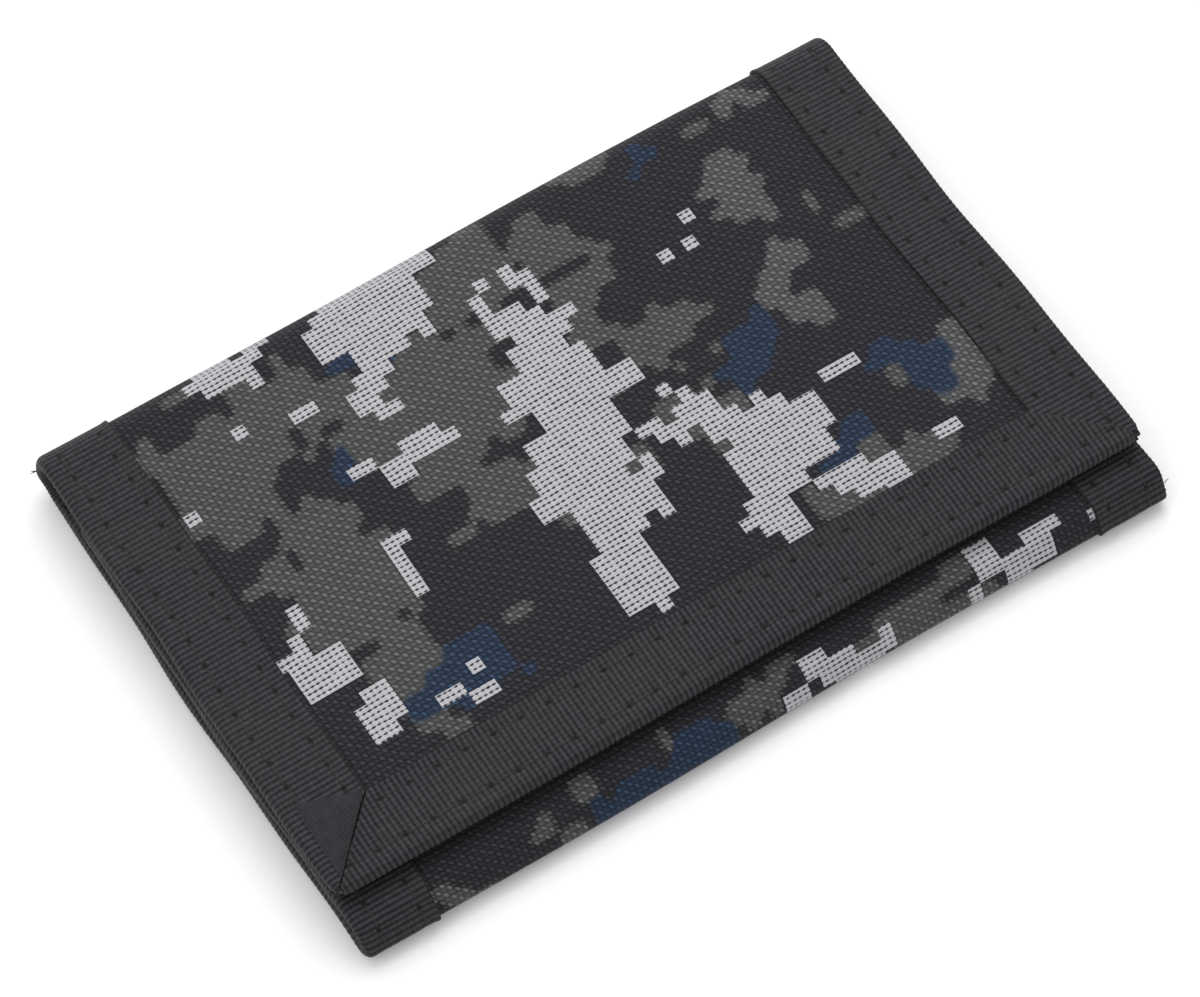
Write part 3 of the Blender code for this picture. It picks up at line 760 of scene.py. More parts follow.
def canvas_material():
    """Ink on a plain weave, with painted shade between the threads and painted highlights on their crowns and
    on the threads that float on top. On the white ink the weave's dips and the holes between the threads are
    painted dark, as painted shade.
    """
    n = Nodes("canvas")
    u, v, place = n.flat()
    wobble = n.sway(n.noise(place, 0.35), 0.35)
    u, v = n.add(u, wobble), n.add(v, wobble)
    twist = n.sway(n.math("FRACT", n.div(v, CANVAS_PITCH[1])), 0.38)
    height, over = n.weave(n.add(u, twist), v, CANVAS_PITCH)
    holes = n.pinholes(u, v, CANVAS_PITCH, HOLE_SIZE, n.sway(n.noise(place, 1.1, 2.0), 1.6))
    tone = n.new("ShaderNodeSeparateColor")
    n.link(n.attribute("ink_tones", "Color"), tone.inputs[0])
    fray = n.mul(n.sub(height, 0.55), 0.35)
    grey, navy, pale = [n.ramp(n.add(ink, fray), 0.26, 0.74) for ink in tone.outputs]
    ground = INK_BLACK
    for mask, ink in ((grey, INK_GREY), (pale, INK_PALE), (navy, INK_NAVY)):
        ground = n.mix(mask, ground, ink)
    thread = n.noise(place, 1.6, 3.0)
    ground = n.shade(ground, thread, 0.6, 1.4)
    # Painted shade between the threads and painted highlight on their crowns: darker where the weave is low,
    # lighter where it is high
    ground = n.shade(ground, n.ramp(height, 0.15, 0.85), 0.72, 1.15)
    # Painted highlight on the threads that float on top, painted shade on the threads beside them
    ground = n.shade(ground, n.mul(over, n.ramp(height, 0.45, 1.0)), 0.87, 1.62)
    white = n.mix(n.ramp(thread, 0.3, 0.7), times(INK_WHITE, 0.9), INK_WHITE)
    # Painted shade on the white ink where the weave dips between the threads
    dip_shade = n.mix(n.ramp(height, 0.1, 0.6), (0.88, 0.88, 0.89), (1.0, 1.0, 1.0))
    white = n.mix(1.0, white, dip_shade, "MULTIPLY")
    # Painted shade in the holes between the threads, on the white ink
    white = n.mix(holes, white, HOLE_SHADE)
    colour = n.mix(n.attribute("ink_white"), ground, white)
    fuzz = n.ramp(n.noise(place, 2.4, 2.0, 0.6), 0.74, 0.80)
    colour = n.mix(n.mul(fuzz, 0.16), colour, FUZZ)
    n.bump(n.sub(height, n.mul(holes, 0.5)), 0.08)
    return n.finish(colour, n.ramp(height, 0.0, 1.0, 0.9, 0.68), 0.04)


def edge_tape_material():
    """Ribs across the tape, lighter on their crests and darker in their grooves as painted highlight and
    painted shade, beads where its cords cross them with painted highlights, a dark dent at each needle hole
    painted as shade, and a painted shadow line along the tape's inner edge.
    """
    n = Nodes("edge_tape")
    u, v, place = n.flat()
    rib = n.math("COSINE", n.mul(u, 2 * pi / RIB_PITCH))
    cord = n.sine(n.mul(v, 2 * pi / CORD_PITCH))
    fibre = n.noise(place, 1.1, 3.0, 0.6)
    # Painted highlight on the rib crests and painted shade in the grooves between them
    colour = n.mix(n.ramp(rib, -0.4, 0.8), times(TAPE_BLACK, 1.52), times(TAPE_BLACK, 0.28))
    colour = n.shade(colour, fibre, 0.6, 1.4)
    # Painted highlight on the beads where the cords cross the ribs, painted shade between them
    colour = n.shade(colour, n.ramp(cord, -1.0, 0.6), 0.84, 1.08)
    fade = n.ramp(n.noise(place, 0.06, 3.0), 0.35, 0.7)
    colour = n.mix(n.mul(fade, 0.15), colour, TAPE_FADED)
    # Painted shade: a near-black dent at each needle hole
    wave = n.sine(n.mul(u, pi / STITCH_PITCH))
    along = n.mul(wave, STITCH_PITCH / pi / DENT[0])
    aside = n.math("MINIMUM", *[n.math("ABSOLUTE", n.sub(v, row)) for row in STITCH_ROWS])
    aside = n.div(aside, DENT[1])
    away = n.add(n.mul(along, along), n.mul(aside, aside))
    away = n.add(away, n.sway(n.noise(place, 0.7), 1.4))
    colour = n.mix(n.ramp(away, 0.2, 1.6, 0.82, 0.0), colour, (0.0015, 0.0015, 0.0018))
    # Painted shadow: a dark line along the tape's inner edge, where it lies on the cloth
    colour = n.mix(n.ramp(v, COVER - 0.35, COVER - 0.1, 0.0, 0.6), colour, (0.004, 0.004, 0.005))
    n.bump(n.add(n.mul(cord, 0.32), n.mul(fibre, 0.6)), 0.07)
    return n.finish(colour, n.ramp(fibre, 0.3, 0.7, 0.78, 0.6), 0.05, 0.2)


def plain_cloth_material(name, colour, pitch, distance):
    """A fine plain weave in one colour, with painted shade between the threads and painted highlights on
    their tops.
    """
    n = Nodes(name)
    u, v, place = n.flat()
    height, _ = n.weave(u, v, (pitch, pitch))
    fibre = n.noise(place, 0.8, 3.0)
    # Painted shade where the weave is low and painted highlight where it is high
    shade = n.mix(n.ramp(height, 0.1, 0.8), times(colour, 0.5), times(colour, 1.3))
    shade = n.shade(shade, fibre, 0.7, 1.3)
    n.bump(height, distance)
    return n.finish(shade, n.ramp(fibre, 0.3, 0.7, 0.7, 0.55), 0.1)


def thread_material():
    """Twisted thread, slightly glossy, painted lighter on the twist's ridges and darker in its grooves, as
    painted highlight and painted shade.
    """
    n = Nodes("thread")
    u, v, _ = n.flat()
    twist = n.sine(n.mul(n.add(u, n.mul(v, 0.8)), 2 * pi / 0.30))
    # Painted highlight on the twist's ridges and painted shade in its grooves
    colour = n.mix(n.ramp(twist, -1.0, 1.0), (0.012, 0.012, 0.013), (0.042, 0.042, 0.044))
    n.bump(twist, 0.04)
    return n.finish(colour, n.ramp(twist, -1.0, 1.0, 0.6, 0.45), 0.03, 0.2)


def grained_material(
    name, colours, noise, gloss, edge=None, bump=None, sheen=0.0, shine=0.15, matt=False, extra=()
):
    """Two colours in a fine grain, for what isn't woven. gloss is the roughness at the grain's two ends."""
    n = Nodes(name)
    place = n.local()
    grain = n.noise(place, *noise)
    colour = n.mix(n.ramp(grain, *edge) if edge else grain, *colours)
    if matt:
        colour = n.shade(colour, n.noise(place, 260.0, 3.0), 0.7, 1.3)
    if bump:
        n.bump(grain, *bump)
    for key, value in extra:
        n.shader.inputs[key].default_value = value
    return n.finish(colour, n.ramp(grain, 0.3, 0.7, *gloss), sheen, shine)


WOVEN = {
    "canvas": canvas_material,
    "edge_tape": edge_tape_material,
    "lining": lambda: plain_cloth_material("lining", LINING_BLACK, 0.45, 0.08),
    "zip_ribbon": lambda: plain_cloth_material("zip_ribbon", TAPE_BLACK, 0.38, 0.06),
    "thread": thread_material,
}
GRAINED = {
    "hook_tape": {
        "colours": ((0.006, 0.006, 0.007), (0.020, 0.020, 0.022)), "noise": (2500.0, 2.0),
        "bump": (0.05, 0.6), "gloss": (0.6, 0.45), "shine": 0.2,
    },
    "loop_tape": {
        "colours": ((0.005, 0.005, 0.006), (0.034, 0.034, 0.037)), "noise": (1500.0, 4.0, 0.7),
        "edge": (0.35, 0.65), "bump": (0.30,), "gloss": (0.95, 0.8), "sheen": 0.3, "matt": True,
    },
    "clear_vinyl": {
        "colours": ((0.86, 0.88, 0.89), (0.86, 0.88, 0.89)), "noise": (120.0, 3.0), "bump": (0.15, 0.5),
        "gloss": (0.08, 0.2), "shine": 0.5, "extra": (("Transmission Weight", 0.92), ("IOR", 1.45)),
    },
    "zip_coil": {
        "colours": ((0.0225, 0.0225, 0.024), (0.0375, 0.0375, 0.04)), "noise": (900.0, 4.0, 0.6),
        "edge": (0.3, 0.7), "bump": (0.03, 0.5), "gloss": (0.48, 0.30), "shine": 0.45,
    },
    "zip_metal": {
        "colours": ((0.0825, 0.0825, 0.0885), (0.1375, 0.1375, 0.1475)), "noise": (500.0, 4.0, 0.6),
        "edge": (0.3, 0.7), "bump": (0.03, 0.5), "gloss": (0.44, 0.26), "shine": 0.45,
        "extra": (("Metallic", 0.9),),
    },
    "paper_floor": {
        "colours": ((0.94, 0.94, 0.942), (0.95, 0.95, 0.952)), "noise": (90.0, 3.0), "gloss": (0.95, 0.85),
        "shine": 0.1, "extra": (("Emission Color", (1.0, 1.0, 1.0, 1.0)), ("Emission Strength", 0.06)),
    },
}


@functools.cache
def material(name):
    """The material of that name, made when it is first asked for."""
    return WOVEN[name]() if name in WOVEN else grained_material(name, **GRAINED[name])


# ---- flat pieces where the frame has them


def claim(piece, body, slot, *nodes):
    """Rides a piece on a body and hides the nodes that it stands for. The slot is not used."""
    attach(piece, body)
    if nodes:
        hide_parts(*nodes)
    return piece


def lines_with(start, end, step, extra=()):
    """Grid lines a step apart, with the extra ones in place of what is near them."""
    count = max(1, int(round((end - start) / step)))
    regular = [start + (end - start) * i / count for i in range(count + 1)]
    kept = [v for v in regular if all(abs(v - e) > step / 3 for e in extra)]
    return np.array(sorted(set(kept) | {start, end} | {e for e in extra if start < e < end}))


def board(name, node, look, step=1.2, hole=None, hem=None, wave=0.0):
    """A flat sheet in a node's box. hem=(width, rise) thickens it at its +X mouth, up to the side that
    shows, and hole=(x range, y range) is left open."""
    lo, hi = ends_of(node)
    hole_x, hole_y = hole or ((), ())
    extra_x = [*hole_x, *([hi[0] - hem[0], hi[0] - hem[0] - 0.2] if hem else [])]
    xs, ys = lines_with(lo[0], hi[0], step, extra_x), lines_with(lo[1], hi[1], step, hole_y)
    gx, gy = np.meshgrid(xs, ys, indexing="ij")
    ripple = wave * np.sin(gx / 9.0 + gy / 14.0) * np.sin(gy / 8.0)
    top, bottom = hi[2] + ripple, lo[2] + ripple
    if hem:
        thick = (gx > hi[0] - hem[0] - 0.01) * hem[1]
        top, bottom = top + np.maximum(thick, 0.0), bottom + np.minimum(thick, 0.0)
    verts, faces = grid_solid(xs, ys, top, bottom, outside_hole(xs, ys, hole) if hole else None)
    return make_object(name, place_all(verts), faces, look, flat=verts)


def seam(name, start, end, z, facing, pitch=3.0, length=2.5, radius=0.14):
    """A straight row of stitches in world millimetres, on a face looking up (+1) or down (-1)."""
    start, end = np.array(start, float), np.array(end, float)
    run = np.linalg.norm(end - start)
    along = (end - start) / run
    across = np.array([-along[1], along[0]])
    verts, faces = [], []
    rings = 6
    arch = lambda swell: 0.08 * swell**0.5 - 0.06
    stitch = one_stitch(length, radius, 0.5, 1.2, arch, rings)
    for k in range(int(run / pitch)):
        middle = start + along * (k + 0.5) * pitch
        faces += ring_faces(len(verts), rings, SIDES)
        verts += [(*(middle + along * a + across * b), z + facing * c) for a, b, c in stitch]
    verts = np.array(verts)
    return make_object(name, place_all(verts), faces, "thread", flat=verts)


def seam_round(name, lo, hi, z, facing, body, slot, **stitch):
    """Rows of stitches along the four sides of a rectangle."""
    corners = ((lo[0], lo[1]), (hi[0], lo[1]), (hi[0], hi[1]), (lo[0], hi[1]))
    for i in range(4):
        claim(seam(f"{name}_{i}", corners[i], corners[(i + 1) % 4], z, facing, **stitch), body, slot)


# ---- the strip's pieces

# Each fold's two bodies, and the places (y, z) between which a piece passes from one to the other
FOLDS = {
    "flap": ("flap", "back_spine", (BACK_CENTRE, HEIGHT), (HALF_DEPTH, HEIGHT - BACK_RADIUS)),
    "base": ("back_spine", "base", (HALF_DEPTH, BACK_RADIUS), (BACK_CENTRE, 0)),
    "front": ("base", "inner_panel", (0, 2.5), (0, 3.95)),
}
RAMP = (1.0, 5.0)
MITRE_CLEAR = 0.4


def leaf_between(deep, into):
    """Depth of a tape's lower leaf: shallow round the folds, deep where there are pockets."""
    return FLAP_LEAF + (deep - FLAP_LEAF) * float(soft_step((into - RAMP[0]) / (RAMP[1] - RAMP[0])))


def base_leaf(s):
    return leaf_between(BASE_LEAF, min(s - S_LOWER, S_BASE - s))


def inner_leaf(s):
    return leaf_between(INNER_LEAF, s - S_FRONT)


def hold(piece, stretch):
    """Rides a piece on the inner panel when its stretch is the inner one, and only bakes the transform of a
    piece on a fold's stretch.
    """
    if stretch in FOLDS:
        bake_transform(piece)
    else:
        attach(piece, "inner_panel")


sewn_on = collections.defaultdict(list)


def add_lining(name, s_range, step=1.5):
    """A stretch of the note divider."""
    xs, ss = [np.linspace(a, b, int(round((b - a) / step)) + 1) for a, b in ((-REACH, REACH), s_range)]
    top = np.full((len(xs), len(ss)), DIVIDER_TOP)
    verts, faces = grid_solid(xs, ss, top, top + DIVIDER)
    return make_object(name, fold(verts), faces, "lining", flat=verts)


def make_cloth():
    """The printed canvas and the note divider, in stretches that bend where the strip folds."""
    pattern = Print()
    slot_front = S_FRONT + high("inner_panel_shell_front")[1] - FRONT_CENTRE
    slot_rear = S_FRONT + low("inner_panel_shell_rear")[1] - FRONT_CENTRE
    end = S_END - WEB_GAP
    dividers = "back_spine_note_divider base_note_divider"

    # Name, from and to along the strip, how it is held, nodes, what it rests on
    rows = (
        ("canvas_flap", WEB_GAP, CUT_SPINE, "flap", "flap_shell", "flap_note_divider"),
        ("canvas_base", CUT_SPINE, CUT_FRONT, "base", "back_spine_shell base_shell", "base_note_divider"),
        ("canvas_inner", CUT_FRONT, slot_front, "front", "inner_panel_shell_front", "base_note_divider"),
        ("canvas_inner_rear", slot_rear, end, "inner", "inner_panel_shell_rear", "coin_pocket_sheet"),
        ("lining_flap", WEB_GAP, CUT_SPINE, "flap", "flap_note_divider", "canvas_flap"),
        ("lining_base", CUT_SPINE, CUT_FRONT, "base", dividers, "canvas_base"),
        ("lining_inner", CUT_FRONT, end, "front", "inner_panel_note_divider", "canvas_inner"),
    )
    for name, start, stop, stretch, nodes, rests_on in rows:
        if name.startswith("canvas"):
            piece, slot = add_canvas(name, (start, stop), pattern), "printed_cloth"
        else:
            piece, slot = add_lining(name, (start, stop)), "lining_cloth"
        hold(piece, stretch)
        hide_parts(*nodes.split())
        sewn_on[name]


def corner_cuts(end, way, gap=0.05):
    """Planes that mitre a tape at its low (-1) or high (+1) end and cut off the mitre's tip."""
    mitre, tip = (end - way * gap, 0.0, 0.0), (end - way * BLUNT, 0.0, 0.0)
    return (mitre, (way, 1.0, 0.0)), (tip, (way, -1.0, 0.0))


def make_side_tapes():
    """The tapes of both long edges, in four stretches, each with its stitching."""
    # What a run needs at a free end: the mitre's planes, the corner, and where each row of stitches stops
    from_start = lambda row: (row + MITRE_CLEAR, CUT_SPINE)
    to_end = lambda row: (CUT_INNER, S_END - row - MITRE_CLEAR - STITCH_PITCH)
    start = (corner_cuts(0.0, -1.0), (0.0, 1.0), from_start)
    end = (corner_cuts(S_END, 1.0), (S_END, -1.0), to_end)
    plain = ((), None, None)
    flap_leaf = lambda s: FLAP_LEAF
    two_nodes = "base_binding_{0} back_spine_binding_{0}"

    # Name, from and to along the strip, how it is held, lower leaf, free end, cloth it is sewn to, nodes
    runs = (
        ("flap", 0.0, CUT_SPINE, "flap", flap_leaf, start, "flap", "flap_binding_{}"),
        ("base", CUT_SPINE, CUT_FRONT, "base", base_leaf, plain, "base", two_nodes),
        ("front_fold", CUT_FRONT, CUT_INNER, "front", flap_leaf, plain, "inner", ""),
        ("inner", CUT_INNER, S_END, "inner", inner_leaf, end, "inner", "inner_panel_binding_{}"),
    )
    for run, first, last, stretch, leaf, (cuts, corner, limit), runs_on, nodes in runs:
        # Name, side, upper and lower leaf's depth, and the kind of cloth
        edges = (
            ("left", -1, 0.0, leaf, "canvas_"),
            ("right_outer", 1, 0.0, lambda s: SHELL_LEAF, "canvas_"),
            ("right_inner", 1, DIVIDER_LEAF, leaf, "lining_"),
        )
        for edge, side, outer, inner_at, cloth in edges:
            facts = ((first, last), side_to_flat(side), outer, inner_at)
            tape = add_tape(f"tape_{run}_{edge}", *facts, cuts, corner)
            thread = add_stitches(f"stitches_{run}_{edge}", *facts, limit, corner)
            for piece in (tape, thread):
                hold(piece, stretch)
                sewn_on[cloth + runs_on].append(piece)
            if nodes:
                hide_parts(*nodes.format(edge).split())


def make_end_tapes():
    """The tapes of the flap's and the inner panel's free edges, mitred into the side tapes."""
    # Name, edge along the strip and the way inwards, lower leaf, node, body, cloth it is sewn to
    rows = (
        ("flap", 0.0, 1.0, FLAP_LEAF, "flap_binding_front", "flap", "canvas_flap"),
        ("inner", S_END, -1.0, INNER_LEAF, "inner_panel_binding_rear", "inner_panel", "canvas_inner_rear"),
    )
    span = (-HALF_WIDTH, HALF_WIDTH)
    cuts = (*corner_cuts(-HALF_WIDTH, -1.0, 0.40), *corner_cuts(HALF_WIDTH, 1.0))

    # Where the end tape laps over the side tapes: side, how high, and how wide
    laps = ((-1, 0.55, 1.5), (1, 0.30, 1.4))
    clear = lambda row: row + MITRE_CLEAR - HALF_WIDTH
    limit = lambda row: (clear(row), -clear(row) - STITCH_PITCH)
    for end, *corner, leaf, node, body, cloth in rows:
        name = f"tape_{end}_edge"
        facts = (span, end_to_flat(*corner), 0.0, lambda x: leaf)
        tape = claim(add_tape(name, *facts, cuts, corner, laps), body, "binding_tape", node)
        thread = claim(add_stitches(f"{name}_stitches", *facts, limit, corner), body, "binding_tape")
        sewn_on[cloth] += [tape, thread]


def add_tuck():
    """The folded-under triangle beside the flap's left mitre."""
    inner, left, tip = (COVER - 0.1, COVER + 0.1), (2.3, 14.2), (2.0, 1.9)
    count = 16
    top, index = [], {}
    for i in range(count + 1):
        for j in range(count + 1 - i):
            a, b = i / count, j / count
            c = 1 - a - b
            inward = a * inner[0] + b * left[0] + c * tip[0]
            s = a * inner[1] + b * left[1] + c * tip[1]
            rim = min(1.0, 6 * min(a, b, c))
            index[(i, j)] = len(top)
            top.append((inward, s, -(0.06 + 0.16 * rim + 0.10 * (1 - b) * rim)))
    verts = np.array([(u - HALF_WIDTH, s, d) for u, s, d in top + [(u, s, 0.02) for u, s, _ in top]])
    n, faces = len(top), []
    for i in range(count):
        for j in range(count - i):
            faces.append((index[(i, j)], index[(i + 1, j)], index[(i, j + 1)]))
            if i + j < count - 1:
                faces.append((index[(i + 1, j)], index[(i + 1, j + 1)], index[(i, j + 1)]))
    rim = [index[(i, 0)] for i in range(count)] + [index[(count - j, j)] for j in range(count)]
    rim += [index[(0, count - k)] for k in range(count)]
    walls = [(a, b, b + n, a + n) for a, b in zip(rim, rim[1:] + rim[:1])]
    under = [tuple(v + n for v in reversed(f)) for f in faces]
    faces += under + walls
    piece = make_object("tape_flap_tuck", fold(verts), faces, "zip_ribbon", flat=verts)
    sewn_on["canvas_flap"].append(claim(piece, "flap", "binding_tape"))


# ---- inside

HEM = 6.0
WINDOW_BORDER = 8.0
HOOK_BACKING = 0.25
SEAM_INSET = 0.7
HOOK_PITCH = 1.15
HOOK_MARGIN = 1.6
HOOK_RADIUS = 0.07
HOOK_JITTER = 0.08
LOOP_BACKING = 0.22
LOOP_UNEVEN = 0.10

# A hook's middle line: how far it leans and how low it hangs
HOOK_ROUTE = ((0, 0.02), (0.02, -0.16), (0.10, -0.30), (0.26, -0.33), (0.36, -0.25))


def make_pockets():
    """Card pockets with hemmed mouths, and the ID window in its frame."""
    pockets = (
        ("base_card_pocket_rear", "base", 0.10, 1, "lining_base"),
        ("base_card_pocket_front", "base", 0.12, 1, "lining_base"),
        ("inner_panel_card_pocket", "inner_panel", -0.05, -1, "lining_inner"),
    )
    for node, body, rise, facing, rests_on in pockets:
        piece = claim(board(f"{node}_cloth", node, "lining", hem=(HEM, rise)), body, "lining_cloth", node)
        lo, hi = ends_of(node)
        x, z = hi[0] - 0.8 * HEM, (hi if facing > 0 else lo)[2] + rise
        claim(seam(f"{node}_seam", (x, lo[1] + 1), (x, hi[1] - 1), z, facing), body, "lining_cloth")

    window = board("id_window_pane", "id_window_vinyl", "clear_vinyl", step=2.0, wave=0.02)
    claim(window, "inner_panel", "clear_vinyl", "id_window_vinyl")
    node = "id_window_frame"
    lo, hi = ends_of(node)
    (x0, x1), (y0, y1) = hole = [(lo[i] + WINDOW_BORDER, hi[i] - WINDOW_BORDER) for i in (0, 1)]
    surround = board("id_window_surround", node, "lining", hole=hole)
    claim(surround, "inner_panel", "lining_cloth", node)
    around = ((x0 - 1.5, y0 - 1.5), (x1 + 1.5, y1 + 1.5))
    seam_round("id_window_seam", *around, lo[2], -1, "inner_panel", "lining_cloth")


def make_closure():
    """Hook tape with rows of bent hooks under the flap, brushed loop tape on the inner panel."""
    lo, hi = ends_of("hook_strip")
    face = hi[2] - HOOK_BACKING
    verts, faces = rounded_slab(lo[:2], hi[:2], (face, hi[2]), 1.5)
    sides = 4
    rng = random.Random(3)
    columns, rows = [int((hi[i] - lo[i] - 2.4) / HOOK_PITCH) for i in (0, 1)]
    for i in range(columns):
        for j in range(rows):
            x = lo[0] + HOOK_MARGIN + i * HOOK_PITCH + rng.uniform(-HOOK_JITTER, HOOK_JITTER)
            y = lo[1] + HOOK_MARGIN + j * HOOK_PITCH + rng.uniform(-HOOK_JITTER, HOOK_JITTER)
            lean = 1 if (i + j) % 2 else -1
            faces += ring_faces(len(verts), len(HOOK_ROUTE), sides)
            for dx, dz in HOOK_ROUTE:
                verts += [(x + lean * dx + u, y + v, face + dz) for u, v in circle(sides, HOOK_RADIUS)]
    hook = make_object("hook_tape", place_all(verts), faces, "hook_tape")
    claim(hook, "flap", "hook_tape", "hook_strip")

    lo, hi = ends_of("loop_strip")
    xs, ys = lines_with(lo[0], hi[0], 0.5), lines_with(lo[1], hi[1], 0.5)
    gx, gy = np.meshgrid(xs, ys, indexing="ij")
    rim = np.minimum.reduce([gx - lo[0], hi[0] - gx, gy - lo[1], hi[1] - gy])
    pile = soft_step((rim - 0.6) / 0.8)
    tufts = np.random.default_rng(5).uniform(-1, 0.8, gx.shape)
    top = lo[2] + LOOP_BACKING + pile * (hi[2] - lo[2] - LOOP_BACKING - 0.08 + LOOP_UNEVEN * tufts)
    verts, faces = grid_solid(xs, ys, top, np.full(gx.shape, lo[2]))
    loop = make_object("loop_tape", place_all(verts), faces, "loop_tape")
    claim(loop, "inner_panel", "loop_tape", "loop_strip")

    for kind, z, facing, body in (("hook", face, -1, "flap"), ("loop", lo[2] + 0.24, 1, "inner_panel")):
        ends = zip(ends_of(f"{kind}_strip"), (SEAM_INSET, -SEAM_INSET))
        around = [[v + inset for v in end[:2]] for end, inset in ends]
        seam_round(f"{kind}_seam", *around, z, facing, body, f"{kind}_tape", pitch=2.4, length=2.0)


def rounded_slab(lo, hi, z_range, radius, steps=4):
    """Verts and faces of a flat plate with round corners."""
    outline = []
    (left, near), (right, far) = [(p[0] + d, p[1] + d) for p, d in ((lo, radius), (hi, -radius))]
    for q, (cx, cy) in enumerate(((right, far), (left, far), (left, near), (right, near))):
        for i in range(steps + 1):
            t = pi / 2 * (q + i / steps)
            outline.append((cx + radius * cos(t), cy + radius * sin(t)))
    n = len(outline)
    verts = [(x, y, z) for z in z_range for x, y in outline]
    faces = [tuple(reversed(range(n))), tuple(range(n, 2 * n))]
    faces += [(i, (i + 1) % n, (i + 1) % n + n, i + n) for i in range(n)]
    return verts, faces


def make_zip():
    """Zip tapes, coils, stops and the coin pocket's sheet. The slider keeps its own body."""
    for node in ("zip_tape_front", "zip_tape_rear"):
        tape = board(f"{node}_ribbon", node, "zip_ribbon", step=1.5)
        claim(tape, "inner_panel", "zip_tape", node)
    for node in ("zip_coil_front", "zip_coil_rear"):
        coil_teeth(node)
    for node in ("zip_bottom_stop", "zip_top_stop"):
        cast_block(f"{node}_cast", node)
    node = "coin_pocket_sheet"
    coin = claim(board("coin_pocket_cloth", node, "lining"), "inner_panel", "lining_cloth", node)


def coil_teeth(node, pitch=1.0, sides=8, rings=7):
    """A row of teeth with a round head towards the middle of the zip."""
    lo, hi = ends_of(node)
    towards = 1 if node.endswith("front") else -1
    start, reach = (lo if towards > 0 else hi)[1], hi[1] - lo[1]
    middle_z, half_z = (lo[2] + hi[2]) / 2, (hi[2] - lo[2]) / 2
    verts, faces = [], []
    for i in range(int((hi[0] - lo[0]) / pitch)):
        x = lo[0] + (i + 0.5) * pitch
        faces += ring_faces(len(verts), rings, sides)
        for r in range(rings):
            t = r / (rings - 1)
            swell = 0.62 + 0.38 * exp(-(((t - 0.85) / 0.18) ** 2))
            pinch = sqrt(max(0.0, 1 - max(0.0, (t - 0.86) / 0.14) ** 2)) * 0.9 + 0.1
            width, tall = 0.42 * swell * pinch, half_z * (0.8 + 0.2 * swell) * pinch
            y = start + towards * reach * t
            verts += [(x + width * u, y, middle_z + tall * v) for u, v in circle(sides)]
    piece = make_object(f"{node}_teeth", place_all(verts), faces, "zip_coil")
    claim(piece, "inner_panel", "zip_coil", node)


def cast_block(name, node, radius=0.25, shrink=0.35):
    """A zip stop: the node's box with rounded edges, shrunk at both x ends."""
    lo, hi = ends_of(node)
    verts, faces = rounded_slab((lo[0] + shrink, lo[1]), (hi[0] - shrink, hi[1]), (lo[2], hi[2]), radius)
    piece = make_object(name, place_all(verts), faces, "zip_metal", smooth=False)
    bevel_edges(piece, radius * 0.5)
    claim(piece, "inner_panel", "zip_metal", node)


def bevel_edges(piece, width_mm, segments=3):
    """Rounds an object's sharp edges for good."""
    bm = bmesh.new()
    bm.from_mesh(piece.data)
    sharp = [e for e in bm.edges if len(e.link_faces) == 2 and e.calc_face_angle() > radians(40)]
    bmesh.ops.bevel(bm, geom=sharp, offset=width_mm * MM, segments=segments, profile=0.5, affect="EDGES")
    bm.to_mesh(piece.data)
    bm.free()
    piece.data.shade_smooth()
    piece.data.set_sharp_from_angle(angle=radians(40))


EYE_WALL = 1.0
EYE = (1.02, 1.32)
PULL_RIB = 0.03


def make_slider():
    """The slider with its cast edges rounded, and a folded ribbon for its pull."""
    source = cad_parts["zip_slider"]
    bm = bmesh.new()
    bm.from_mesh(source.data)
    bm.transform(source.matrix_world)
    bmesh.ops.remove_doubles(bm, verts=bm.verts, dist=1e-6)
    bmesh.ops.dissolve_limit(bm, angle_limit=radians(2), verts=bm.verts, edges=bm.edges)
    mesh = bpy.data.meshes.new("zip_slider_cast")
    bm.to_mesh(mesh)
    bm.free()
    mesh.materials.clear()
    mesh.materials.append(material("zip_metal"))
    cast = into_scene(bpy.data.objects.new("zip_slider_cast", mesh))
    bevel_edges(cast, 0.12, 2)
    claim(cast, "zip_slider", "zip_metal", "zip_slider")

    node = "zip_pull_tab"
    lo, hi = ends_of(node)
    eye_end, middle = hi[0] - EYE_WALL, (lo[1] + hi[1]) / 2
    hole = ((eye_end - EYE[0], eye_end), (middle - EYE[1] / 2, middle + EYE[1] / 2))
    xs, ys = lines_with(lo[0], hi[0], 0.25, hole[0]), lines_with(lo[1], hi[1], 0.3, hole[1])
    gx, _ = np.meshgrid(xs, ys, indexing="ij")
    rib = PULL_RIB * np.cos(gx * 2 * pi / RIB_PITCH) - PULL_RIB
    ends = soft_step((gx - lo[0]) / 0.5) * soft_step((hi[0] - gx) / 0.4)
    thick = (hi[2] - lo[2]) / 2 * (0.6 + 0.4 * ends)
    centre = (hi[2] + lo[2]) / 2 - 0.22 * soft_step((hi[0] - 3.5 - gx) / 5.0)
    verts, faces = grid_solid(xs, ys, centre + thick + rib, centre - thick, outside_hole(xs, ys, hole))
    tab = make_object("zip_pull_ribbon", verts * MM, faces, "zip_ribbon", flat=verts)
    claim(tab, "zip_slider", "binding_tape", node)
    x, y_range = lo[0] + 2.2, (lo[1] + 0.5, hi[1] - 0.5)
    thread = seam("zip_pull_seam", (x, y_range[0]), (x, y_range[1]), hi[2] - 0.45, 1, 1.1, 0.9, 0.07)
    claim(thread, "zip_slider", "binding_tape")


YARNS = 4
YARN_RADIUS = 0.05


